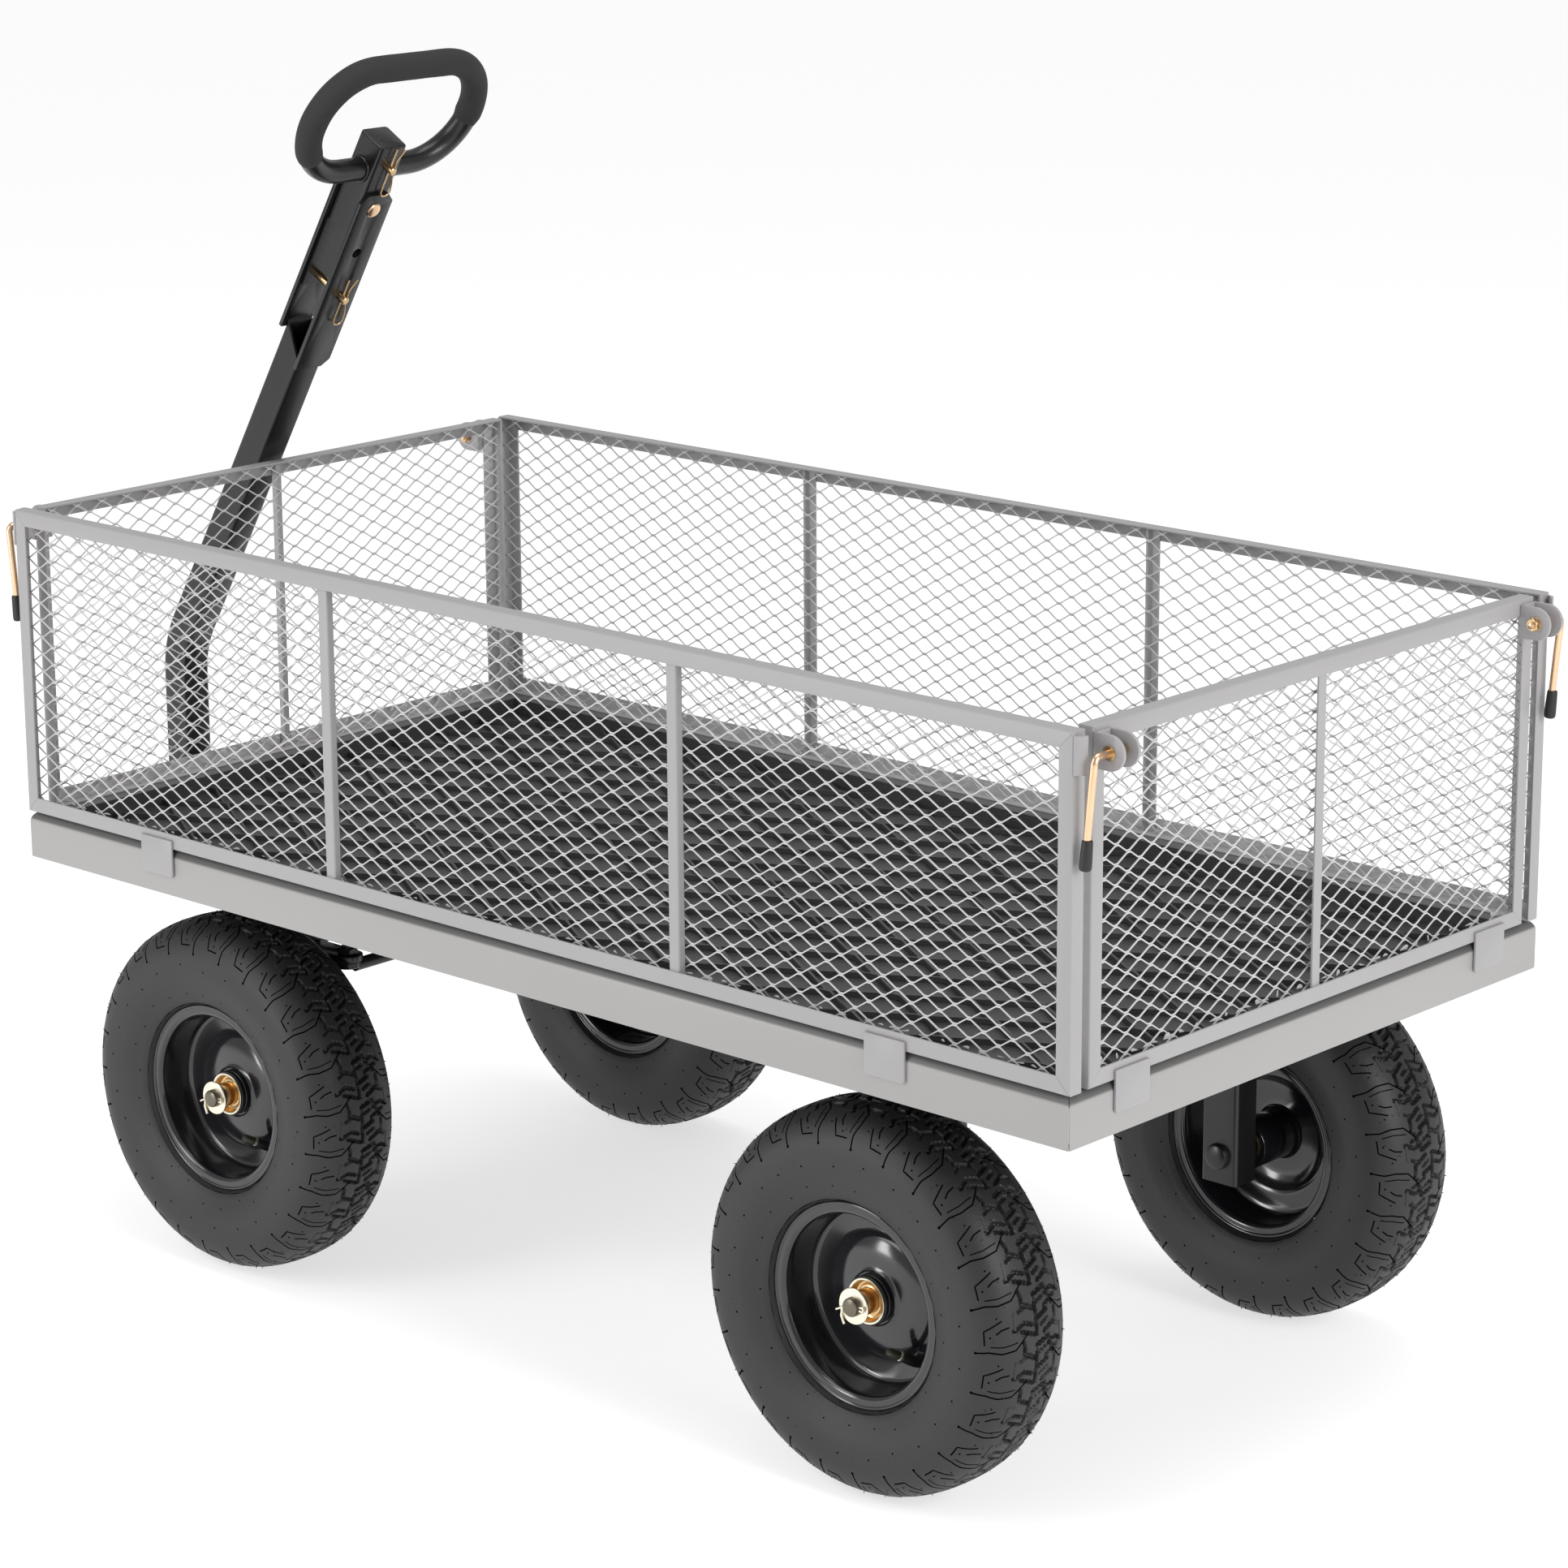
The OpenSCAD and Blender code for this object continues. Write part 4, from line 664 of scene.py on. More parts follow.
# %% Four latches
for end_name, end in ENDS.items():
    brackets = bmesh.new()
    for hand, side in HANDS.items():
        place = shift(end * LATCH_X, 0, LATCH_Z) @ Matrix.Diagonal((end, side, 1, 1))
        part, wire, nuts, tip = (bmesh.new() for _ in range(4))
        for y in (EAR_Y, FAR_EAR):
            plate(part, EAR, [(0, 0, LEVER_R + HOLE_GAP)], EAR_T, upright(y), 0.45)
        block(part, (-REACH + WEB_IN, FAR_EAR - EAR_T + WEB_IN, -EAR_R + WEB_IN),
              (-REACH + EAR_T, EAR_Y - WEB_IN, EAR_R - WEB_IN), 0.8)
        join(brackets, part, place)
        bend = [(0, y, z) for y, z in arc(LEVER_Y - BEND_TURN, -BEND_TURN, BEND_TURN, 90, 0, 9)]
        arm = [(SWAY * 0.3, LEVER_Y, -LEVER_L * 0.3), (SWAY, LEVER_Y, 6 - LEVER_L)]
        rod(wire, [(0, NUT_IN - 2.5, 0)] + bend + arm, LEVER_R, 20)
        bevel_sharp(wire, 0.5, 2, angle=60)
        for y, thick in ((NUT_IN, NUT_T), (FAR_EAR + 1.4, NUT_T + 0.4)):
            hexagon(nuts, y * Y, (y + thick) * Y, NUT_FLATS, bore=NUT_BORE)
        for y, thick in ((NUT_IN + NUT_T, 0.65), (EAR_Y + 0.1, 0.8)):
            pin(nuts, y * Y, (y + thick) * Y, WASHER_R, 0.2, bore=NUT_BORE)
        tip_end, tip_top = (SWAY, LEVER_Y, -LEVER_L), (SWAY * 0.6, LEVER_Y, -LEVER_L * 0.6)
        lathe(tip, TIP_SHAPE, 24, place=towards(tip_end, tip_top))
        name = f"{end_name}_{hand}"
        for kind, bm, material in (("lever", wire, COPPER), ("nut", nuts, GOLD), ("tip", tip, TIP)):
            finish_piece(f"latch_{kind}_{name}", bm, f"lever_{name}", material, place=place)
    finish_piece(f"latch_brackets_{end_name}", brackets, "bed" if end < 0 else "rear_gate", PANEL)
print("latches", len(ENDS) * len(HANDS))

# %% [markdown]
# ## Tyres
# A moulded tyre repeats one block of tread 25 times round. The block is spun from the tyre's
# section, then its grooves are pressed in along the surface: each point goes down by its distance
# to the nearest groove line. 25 copies close the ring. The thin sipes are near-black strips that lie
# on the surface, painted shade in the narrow slits. Small near-black discs are painted shadows of
# the short hairs left by the mould's vents, and the rubber hairs are short spikes.

# %% Tyre section
AXLE_X, WHEEL_Y, AXLE_Z, KING_Y = 389.0, 263.0, 165.0, 195.0
WIDEST, HALF, CROWN, WALL_END, TURN_IN, ROUNDNESS = 125.5, 49.7, 164.2, 86.0, 12.0, 2 / 2.6
FINE_STEP, COARSE_STEP, FINE_COUNT, COARSE_COUNT = 1.15, 3.6, 40, 20
REPEATS, SAMPLES = 25, 32
PERIOD = math.tau * CROWN / REPEATS
outline = [Vector((WIDEST + (CROWN - WIDEST) * math.sin(a) ** ROUNDNESS, HALF * math.cos(a) ** ROUNDNESS))
           for a in (math.radians(90 - i / 4) for i in range(361))]
outline += [Vector((r, HALF - TURN_IN * ((WIDEST - r) / (WIDEST - WALL_END)) ** 2))
            for r in (WIDEST - i / 2 for i in range(1, 77))]
RIBS, RIB_W = ((93.5, 0.8), (112.5, 0.35), (121.5, 0.3)), 1.6
stations = [i * FINE_STEP for i in range(FINE_COUNT)]
stations += [FINE_COUNT * FINE_STEP + i * COARSE_STEP for i in range(COARSE_COUNT)]
wall, gone = [], 0.0
for near, far in zip(outline, outline[1:]):
    step = (far - near).length
    while stations and stations[0] <= gone + step:
        point = near.lerp(far, (stations.pop(0) - gone) / step)
        ribs = sum(size * math.exp(-((point.x - ring) / RIB_W) ** 2) for ring, size in RIBS)
        wall.append(point + Vector((0, ribs)))
    gone += step
SECTION = [Vector((point.x, -point.y)) for point in wall[:0:-1]] + wall
AROUND, OUTWARD = [0.0], []
for a, b in zip(SECTION, SECTION[1:]):
    AROUND.append(AROUND[-1] + (b - a).length)
AROUND = [s - AROUND[len(wall) - 1] for s in AROUND]
for i in range(len(SECTION)):
    way = SECTION[min(i + 1, len(SECTION) - 1)] - SECTION[max(i - 1, 0)]
    OUTWARD.append(Vector((way.y, -way.x)).normalized())
print("section", len(SECTION), "points, crown to bead", round(AROUND[-1], 1), "mm")
print("one repeat of the tread is", round(PERIOD, 1), "mm long")


# %% Tread lines
# Each line: its points as (repeats round the tyre, mm from the crown), its width and its depth.
CROWN_LINES = [
    ([(-0.14, 4), (-0.51, 5), (-0.80, 4)], 2.8, 4.0), ([(-0.39, -8), (-0.51, 5)], 3.2, 4.4),
    ([(-0.02, 4), (0.08, -9), (-0.28, -16)], 3.2, 4.4), ([(-0.56, -9), (-0.64, -1)], 2.2, 3.0),
    ([(-0.18, 2.5), (-0.12, -5)], 2.2, 3.0),
]
SHOULDER_LINES = [
    ([(-0.62, 28), (-0.50, 18), (-0.58, 9)], 2.4, 3.4), ([(-0.66, 21), (-0.80, 6)], 2.2, 3.2),
    ([(-0.89, 19), (-1.14, 18), (-1.30, 4)], 2.8, 3.6), ([(-0.26, 22), (-0.16, 13)], 2.0, 2.4),
]
FAR_SHOULDER = [([(u + 0.5, -s) for u, s in line], width, deep) for line, width, deep in SHOULDER_LINES]
GROOVES = CROWN_LINES + SHOULDER_LINES + FAR_SHOULDER
EDGE, SLOPE = 0.5, 0.8
SEGMENTS = [(Vector(((u0 + lap) * PERIOD, s0)), Vector(((u1 + lap) * PERIOD, s1)), width / 2 + EDGE, deep)
            for line, width, deep in GROOVES
            for (u0, s0), (u1, s1) in zip(line, line[1:]) for lap in (-1, 0, 1, 2)]


def groove_depth(u, s):
    """How deep the tread is cut at a fraction u of the repeat and a way s across the surface."""
    here, depth = Vector((u % 1 * PERIOD, s)), 0.0
    for a, b, reach, deep in SEGMENTS:
        if min(a.y, b.y) - reach < s < max(a.y, b.y) + reach:
            along = max(0, min(1, (here - a).dot(b - a) / (b - a).length_squared))
            depth = max(depth, deep * max(0, min(1, (reach - (here - a.lerp(b, along)).length) / SLOPE)))
    return depth


print("groove lines", len(GROOVES), "in each repeat")

# %% Grooved tyre
part = bmesh.new()
station = part.verts.layers.int.new("station")
for index, point in enumerate(SECTION):
    part.verts.new((point.x, point.y, 0))[station] = index
part.verts.ensure_lookup_table()
for a, b in zip(part.verts[:-1], part.verts[1:]):
    part.edges.new((a, b))
bmesh.ops.spin(part, geom=part.verts[:] + part.edges[:], cent=(0, 0, 0), axis=(0, 1, 0),
               angle=math.tau / REPEATS, steps=SAMPLES, use_merge=False, use_duplicate=False)
deepest = 0.0
for vert in part.verts:
    index = vert[station]
    angle = -math.atan2(vert.co.z, vert.co.x)
    depth = groove_depth(angle / math.tau * REPEATS, AROUND[index])
    out = OUTWARD[index]
    vert.co -= depth * Vector((out.x * math.cos(angle), out.y, -out.x * math.sin(angle)))
    deepest = max(deepest, depth)
TREAD = bmesh.new()
join(TREAD, part, *[turned(360 / REPEATS * k, "Y") for k in range(REPEATS)])
bmesh.ops.remove_doubles(TREAD, verts=TREAD.verts, dist=0.001)
SEAT_R, SEAT_Y = 86.6, 33.2
for side in (-1, 1):
    lathe(TREAD, [(SEAT_R, side * SEAT_Y), (SECTION[-1].x, side * SECTION[-1].y)], REPEATS)
print("tyre faces", len(TREAD.faces), "deepest groove", round(deepest, 2), "mm")


# %% Places and strips on the tyre
def on_tyre(u, s, lift=0.0):
    """A point of the tyre's surface: u repeats round it, s across it from the crown."""
    index = min(range(len(SECTION)), key=lambda i: abs(AROUND[i] - s))
    index = min(max(index, 1), len(SECTION) - 2)
    near = index + (1 if s > AROUND[index] else -1)
    part_way = (s - AROUND[index]) / (AROUND[near] - AROUND[index])
    point, out = SECTION[index].lerp(SECTION[near], part_way), OUTWARD[index].lerp(OUTWARD[near], part_way)
    spin, lifted = Matrix.Rotation(u * math.tau / REPEATS, 3, "Y"), point + out * lift
    return spin @ Vector((lifted.x, lifted.y, 0)), spin @ Vector((out.x, out.y, 0))


def radius_at(r):
    """How far across the surface the tyre's outer radius r lies."""
    return min((abs(SECTION[i].x - r), AROUND[i]) for i in range(len(wall) + 4, len(SECTION)))[1]


def strip(bm, line, side, turn, width, thick):
    """A flat strip along a line on the tyre, half sunk into it."""
    points, places = [on_tyre(turn + u, side * s, 0.04) for u, s in line], []
    for i, (point, out) in enumerate(points):
        along = (points[min(i + 1, len(points) - 1)][0] - points[max(i - 1, 0)][0]).normalized()
        places.append(frame_of(point, along.cross(out).normalized() * width, out * thick, along))
    sweep(bm, rectangle(1, 1), places)


def finer(line, steps=3):
    """The same line with more points, so that a strip follows the round surface."""
    fine = [line[0]]
    for (u0, s0), (u1, s1) in zip(line, line[1:]):
        fine += [(u0 + (u1 - u0) * k / steps, s0 + (s1 - s0) * k / steps) for k in range(1, steps + 1)]
    return fine


print("sidewall from", round(radius_at(WIDEST), 1), "to", round(AROUND[-1], 1), "mm across the surface")

# %% Sipes, stub shadows and hairs
# The thin lines with their widths, the raised bar, and the places of the painted stub shadows and hairs
# across the tyre.
SIPES = [([(0.30, 14), (0.0, 27), (-0.04, 39), (0.0, 49), (-0.04, 60)], 1.3),
         ([(0.15, 25), (0.10, 37.6), (0.12, 48)], 0.9),
         ([(-0.35, 37.6), (-0.46, 46.4), (-0.54, 52.8), (-0.85, 52.8)], 1.2),
         ([(-0.51, 32), (-0.54, 38.4), (-0.62, 43.2)], 1.2)]
RAISED_BAR, BAR_W, BAR_T, SIPE_T = [(-0.26, 26.4), (-0.60, 27.2)], 2.2, 0.8, 0.14
STUB_SHADOWS = [(-0.04, 60.5, 1.3), (-0.68, 48, 0.9), (-0.29, 41.6, 0.8)]
HAIRS = ((radius_at(123), 0.7), (46, 1.6), (34, 2.4), (20, 2.6), (6, 0.7))


def tyre_marks(seed):
    """The sipes of one tyre as strips of painted shade, the painted shadows of its hair stubs, and its raised
    bars and rubber hairs.
    """
    cut_shade, hairs, rng = bmesh.new(), bmesh.new(), random.Random(seed)
    for side in (-1, 1):
        for k in range(REPEATS):
            turn = k + (0.5 if side < 0 else 0)
            for line, width in SIPES:
                # Each sipe is a strip of painted shade lying on the surface.
                strip(cut_shade, finer(line), side, turn, width, SIPE_T)
            strip(hairs, RAISED_BAR, side, turn, BAR_W, BAR_T)
            # Small near-black discs: painted shadows of the short hair stubs.
            marks = STUB_SHADOWS + [(rng.uniform(-0.6, -0.3), radius_at(rng.uniform(119, 127)), 0.9),
                             (rng.uniform(-0.3, -0.1), radius_at(rng.uniform(94, 104)), 0.8)]
            for u, s, size in marks:
                point, out = on_tyre(turn + u, side * s, 0.08)
                bmesh.ops.create_circle(cut_shade, cap_ends=True, segments=8, radius=size,
                                        matrix=towards(point, point + out) @ turned(90, "X"))
            for s, length in HAIRS:
                point, out = on_tyre(turn + rng.random(), side * s, 0)
                tall = length * rng.uniform(0.6, 1.2)
                lean = Vector((rng.uniform(-0.5, 0.5), 0, rng.uniform(-0.5, 0.5)))
                stand = towards(point, point + out + lean) @ shift(0, tall / 2 - 0.1, 0)
                bmesh.ops.create_cone(hairs, cap_ends=True, segments=4, radius1=0.5, radius2=0.12, depth=tall,
                                      matrix=stand @ turned(-90, "X"))
    return cut_shade, hairs


print("sipes in a repeat", 2 * len(SIPES), "stub_shadows", 2 * (len(STUB_SHADOWS) + 2), "hairs", 2 * len(HAIRS))


# %% Four tyres
def at_wheel(end, side):
    return shift(end * AXLE_X, side * WHEEL_Y, AXLE_Z) @ turned(180 if side < 0 else 0, "Z")


WHEELS = [(f"{e}_{h}", ENDS[e], HANDS[h]) for e in ENDS for h in HANDS]
for k, (name, end, side) in enumerate(WHEELS):
    place, body, tyre = at_wheel(end, side) @ turned(40 * k, "Y"), f"wheel_{name}", bmesh.new()
    join(tyre, TREAD.copy())
    finish_piece(f"tyre_{name}", tyre, body, RUBBER, angle=32, place=place)
    cut_shade, hairs = tyre_marks(k)
    # The near-black strips and discs are painted shade and painted shadows.
    finish_piece(f"tyre_cut_shade_{name}", cut_shade, body, CUT_SHADE, place=place)
    finish_piece(f"tyre_hairs_{name}", hairs, body, RUBBER, place=place)
print("tyres", len(WHEELS))

# %% [markdown]
# ## Rims and hubs
# The rim is two pressed steel discs in a rolled barrel, stove enamelled black. A hub tube is
# welded in, with a bearing at each end. Outside sits a rubber boot, then a plated cup, a spacer,
# a flat washer and a split pin through the stub axle. All of it is turned work, so each part is
# spun from the profile a lathe or a spinning tool would leave.

# %% Rims
EDGE_R, EDGE_Y = 86.4, 33.0
LIP_R, LIP_Y, LIP_ROLL, BEAD_R, BEAD_Y, BEAD_ROLL = 85.3, 34.4, 1.9, 80.2, 31.0, 4.6
RIM_FRONT = ([(EDGE_R, EDGE_Y)] + arc(LIP_R, LIP_Y, LIP_ROLL, -35, 150, 8)
             + arc(BEAD_R, BEAD_Y, BEAD_ROLL, 60, 175, 6)[1:]
             + [(75.4, 27), (75.0, 22), (74.6, 8), (74.1, 4.2), (72.6, 2.0), (70, 1.1), (58, 1.0),
                (54.6, 1.3), (52.6, 2.6), (51.2, 4.0), (48.5, 5.7), (42, 7.8), (34, 9.3), (27, 9.9),
                (23.8, 10.4), (22.3, 11.4), (22.0, 12.0), (17.6, 12.0), (17.4, 10)])
RIM_BACK = ([(17.4, -43), (17.6, -45), (21.6, -45), (22.0, -44.4), (22.0, -2), (22.6, 3), (25, 5.6),
             (34, 6.6), (42, 5.0), (48.5, 2.8), (51.2, 0.6), (53.5, -1.2), (58, -1.6), (68, -1.6),
             (71.6, -2.0), (73.8, -3.4), (74.6, -7), (75.0, -22), (75.4, -27)]
            + arc(BEAD_R, -BEAD_Y, BEAD_ROLL, 185, 300, 6) + arc(LIP_R, -LIP_Y, LIP_ROLL, 210, 395, 8)
            + [(EDGE_R, -EDGE_Y)])
BARREL = [(EDGE_R, -EDGE_Y), (84.5, -32.9), (77.2, -32.5), (77.2, 32.5), (84.5, 32.9), (EDGE_R, EDGE_Y)]
for name, end, side in WHEELS:
    bm = bmesh.new()
    for profile in (RIM_FRONT, RIM_BACK, BARREL):
        lathe(bm, profile, 144)
    finish_piece(f"rim_{name}", bm, f"wheel_{name}", RIM, angle=40, place=at_wheel(end, side))
print("rims", len(WHEELS), "flange", 2 * RIM_FRONT[4][0], "mm")

# %% Boots and valves
BOOT = [(18.5, 12.06), (20.4, 12.06), (20.8, 12.6), (20.8, 15.4), (20.2, 16.0), (20.2, 16.8), (20.8, 17.4),
        (20.8, 20.1), (20.3, 20.7), (18.5, 20.7)]
INNER_SEAL = [(8.3, -41.5), (8.3, -44.9), (10.6, -44.9), (10.9, -44.0), (15.4, -44.0), (16.0, -45.4),
              (17.2, -45.4), (17.2, -41.5)]
VALVE_LEAN, VALVE_ANGLE, VALVE_R = math.radians(38), math.radians(132), 61.5
STEM_RADII = [6.0, 5.8, 5.0, 4.5, 4.5, 3.9]
VALVE_RING = [(0, 0), (3.4, 0), (4.2, 0.4), (4.2, 2.2), (3.2, 2.6), (0, 2.6)]
VALVE_CAP = [(0, 0), (3.2, 0), (3.6, 0.5), (3.6, 8.5), (3.2, 10.4), (2.2, 12.0), (0, 12.3)]
out = Vector((math.cos(VALVE_ANGLE), 0, -math.sin(VALVE_ANGLE)))
foot, lean = out * VALVE_R + 1.1 * Y, math.cos(VALVE_LEAN) * Y - out * math.sin(VALVE_LEAN)
neck = foot + 6 * Y
STEM = [foot, foot + 2.5 * Y, foot + 4.5 * Y, neck + lean * 1.5, neck + lean * 8, neck + lean * 14]
for name, end, side in WHEELS:
    place, body = at_wheel(end, side), f"wheel_{name}"
    rubber, ring, cap = (bmesh.new() for _ in range(3))
    lathe(rubber, BOOT, 72, closed=True)
    lathe(rubber, INNER_SEAL, 72, closed=True)
    rod(rubber, STEM, 5, 20, STEM_RADII)
    lathe(ring, VALVE_RING, 24, place=towards(neck + lean * 13.9, neck + lean * 20))
    lathe(cap, VALVE_CAP, 24, place=towards(neck + lean * 16.4, neck + lean * 29))
    finish_piece(f"wheel_rubber_{name}", rubber, body, SEAL, [f"wheel_fittings_{name}"], place=place)
    finish_piece(f"valve_ring_{name}", ring, body, PALE, place=place)
    finish_piece(f"valve_cap_{name}", cap, body, CAP, place=place)
print("valve stems lean", round(math.degrees(VALVE_LEAN)), "degrees")

# %% Profiles of the axles and cups
LEG_IN, SHANK_R, SLEEVE_R, PIN_Y, PIN_R = KING_Y - WHEEL_Y - 15, 8.0, 8.05, 38.6, 1.1
CUP = [(11.0, 13.6), (12.6, 13.2), (18.2, 12.8), (18.2, 20.8), (17.4, 20.8), (16.9, 18.0),
       (15.6, 15.4), (14.0, 14.8), (13.2, 15.6), (12.6, 17.2), (11.0, 17.6)]
# The cup's rolled lip is turned in pale zinc: a painted highlight on the yellow zinc cup.
LIT_CUP_LIP = [(17.35, 20.7), (19.2, 20.9), (19.4, 21.2), (19.4, 21.8), (19.2, 22.0), (18.0, 22.0), (17.35, 21.5)]
KEEPER = [(8.1, 35.0), (14.9, 35.0), (15.4, 35.5), (15.4, 36.5), (14.9, 37.0), (8.1, 37.0)]
HEAD = [(0, LEG_IN - 6.5), (8.5, LEG_IN - 6.5), (10.8, LEG_IN - 5.4), (11.6, LEG_IN - 3),
        (11.8, LEG_IN), (0, LEG_IN)]
OUTER_SPACER = [(SLEEVE_R, 17.5), (10.9, 17.5), (10.9, 34.95), (SLEEVE_R, 34.95)]
INNER_SPACER = [(SLEEVE_R, -45.4), (12.6, -45.4), (13.0, -46), (13.0, LEG_IN + 30.6), (12.6, LEG_IN + 30.1),
                (SLEEVE_R, LEG_IN + 30.1)]
SHANK = [(0, LEG_IN), (SHANK_R, LEG_IN), (SHANK_R, 40.2), (7.5, 41.4), (6.0, 42.1), (3.0, 42.4), (0, 42.5)]
SPLIT_LEGS = [[(-9.6, PIN_Y, 1.6), (-11.6, PIN_Y, 1.9), (-12.6, PIN_Y, 0.3), (-11.6, PIN_Y, -1.6),
               (-9, PIN_Y, -1.2), (8, PIN_Y, -1.6), (12, 38.5, -3.4), (17, 38.2, -6.0)],
              [(-9.6, PIN_Y, 1.6), (8, PIN_Y, -0.2), (10.4, 38.4, -4.5), (11.5, 38.2, -9.9),
               (8.6, 38.2, -16.6)]]
print("shank", round(SHANK[-1][1] - LEG_IN, 1), "mm long")

# %% Axles, cups and split pins
for name, end, side in WHEELS:
    body, place = "bed" if end > 0 else f"{name.split('_')[1]}_knuckle", at_wheel(end, side)
    head, plated, pale, shank = (bmesh.new() for _ in range(4))
    lathe(head, HEAD, 48)
    for profile, steps in ((CUP, 60), (OUTER_SPACER, 48), (INNER_SPACER, 48)):
        lathe(plated, profile, steps, closed=True)
    # Pale zinc: the keeper washer's own plating, and a painted highlight on the cup's lip.
    for profile in (KEEPER, LIT_CUP_LIP):
        lathe(pale, profile, 60, closed=True)
    for route in SPLIT_LEGS:
        rod(pale, route, PIN_R, 10)
    lathe(shank, SHANK, 48)
    stands_for = [f"axle_{name}"] if end < 0 else (["rear_axles"] if side < 0 else [])
    finish_piece(f"axle_head_{name}", head, body, BLACK, place=place)
    finish_piece(f"axle_cup_{name}", plated, body, GOLD, stands_for, place=place)
    finish_piece(f"axle_washer_{name}", pale, body, PALE, place=place)
    finish_piece(f"axle_{name}_shank", shank, body, STEEL, place=place)
print("axles", len(WHEELS))

# %% [markdown]
# ## Running gear
# Under the floor two square tubes run lengthwise, bolted to a cross beam over each pair of wheels.
# Fixed legs drop to the rear axles. The front legs are knuckles that turn on kingpins and are
# joined by round rods to the tongue, so that the handle steers both wheels. It is all saw-cut
# tube, plate and turned pins, welded and painted black, and is built from those.

# %% Runners and straps
def under(node):
    return box_mm(node)[0].z


def painted(name, bm, body, *nodes, **more):
    finish_piece(name, bm, body, BLACK, nodes, **more)


RUNNER_Z, BEAM_Z, LEG_Z = under("bed_runners"), under("rear_beam"), under("rear_legs")
RUNNER, RUNNER_Y, RUNNER_END, STRAP_X, STRAP_Y = 29, 110, 609.7, 20, 277.4
bm = bmesh.new()
for y in (-RUNNER_Y, RUNNER_Y):
    middle = RUNNER_Z + RUNNER / 2
    square_tube(bm, RUNNER, RUNNER, 2.5, [(-RUNNER_END, y, middle), (RUNNER_END, y, middle)], Y)
painted("runners", bm, "bed", "bed_runners")
bm = bmesh.new()
for x in (-BED_L / 3, 0, BED_L / 3):
    block(bm, (x - STRAP_X, -STRAP_Y, FLOOR_BOTTOM - 1.95), (x + STRAP_X, STRAP_Y, FLOOR_BOTTOM - 0.05), 0.4)
painted("floor_straps", bm, "bed")
print("runners at", round(RUNNER_Z, 1), "mm, straps", 2 * STRAP_Y, "mm long")

# %% Beams and legs
BEAM, WALL, EDGE_ROUND, BORE = 36, 3, 4, 8.1
MIDDLE_Z, TOP_Z = BEAM_Z + BEAM / 2, BEAM_Z + BEAM


def leg(bm, x, y, top):
    square_tube(bm, 38, 30, WALL, [(x, y, LEG_Z), (x, y, top)], X, 3.5)


bm, end = bmesh.new(), KING_Y - 4
square_tube(bm, BEAM, BEAM, WALL, [(-AXLE_X, -end, MIDDLE_Z), (-AXLE_X, end, MIDDLE_Z)], X, EDGE_ROUND)
for y in (-KING_Y, KING_Y):
    pin(bm, (-AXLE_X, y, BEAM_Z), (-AXLE_X, y, TOP_Z), BEAM / 2, 0.8, 64, bore=BORE)
    seam = arc(-AXLE_X, y, BEAM / 2 + 0.2, *((-150, -30) if y > 0 else (30, 150)), 24)
    rod(bm, [(x, y, BEAM_Z + 1.2) for x, y in seam], 1.1, 8)
painted("front_beam", bm, "bed")
bm, end = bmesh.new(), KING_Y + 15
square_tube(bm, BEAM, BEAM, WALL, [(AXLE_X, -end, MIDDLE_Z), (AXLE_X, end, MIDDLE_Z)], X, EDGE_ROUND)
painted("rear_beam", bm, "bed")
bm = bmesh.new()
for y in (-KING_Y, KING_Y):
    leg(bm, AXLE_X, y, BEAM_Z)
    for x in (AXLE_X - 18.4, AXLE_X + 18.4):
        weld(bm, (x, y - 14, BEAM_Z + 0.2), (x, y + 14, BEAM_Z + 0.2), 1.3, f"leg{y}{x}")
painted("rear_legs", bm, "bed")
print("beams at", round(BEAM_Z, 1), "mm, legs end at", round(LEG_Z, 1), "mm")

# %% Tongue mount and frame bolts
TONGUE_X, ARM_Z, MOUNT_W, PIVOT_R, BOLT_R, PIVOT_PIN_R = -680.0, BEAM_Z - 25, 50, 25, 4.9, 7.9
bm, start, end = bmesh.new(), TONGUE_X + 8, -AXLE_X - BEAM / 2
square_tube(bm, MOUNT_W, BEAM, WALL, [(start, 0, MIDDLE_Z), (end, 0, MIDDLE_Z)], Y, EDGE_ROUND)
pin(bm, (TONGUE_X, 0, BEAM_Z), (TONGUE_X, 0, TOP_Z), PIVOT_R, 0.8, 72, bore=BORE)
block(bm, (0.4 - BED_L / 2, -MOUNT_W / 2, TOP_Z), (24 - BED_L / 2, MOUNT_W / 2, SKIRT_Z - 0.1), 0.6)
painted("tongue_mount", bm, "bed")
bm = bmesh.new()
for x in (-AXLE_X, AXLE_X):
    for y in (-RUNNER_Y, RUNNER_Y):
        hexagon(bm, (x, y, BEAM_Z - 0.1), (x, y, BEAM_Z - 6.8), 16)
        hexagon(bm, (x, y, TOP_Z + 2.5), (x, y, TOP_Z + 9.4), 16)
        pin(bm, (x, y, BEAM_Z + 1), (x, y, TOP_Z + 10), BOLT_R)
hexagon(bm, (TONGUE_X, 0, TOP_Z), (TONGUE_X, 0, TOP_Z + 6.9), 24)
hexagon(bm, (TONGUE_X, 0, ARM_Z - 0.4), (TONGUE_X, 0, ARM_Z - 7.2), 24)
pin(bm, (TONGUE_X, 0, ARM_Z - 10.9), (TONGUE_X, 0, TOP_Z), PIVOT_PIN_R)
painted("frame_bolts", bm, "bed")
print("tongue pivot at x =", TONGUE_X, "mm, arms at", round(ARM_Z, 1), "mm")

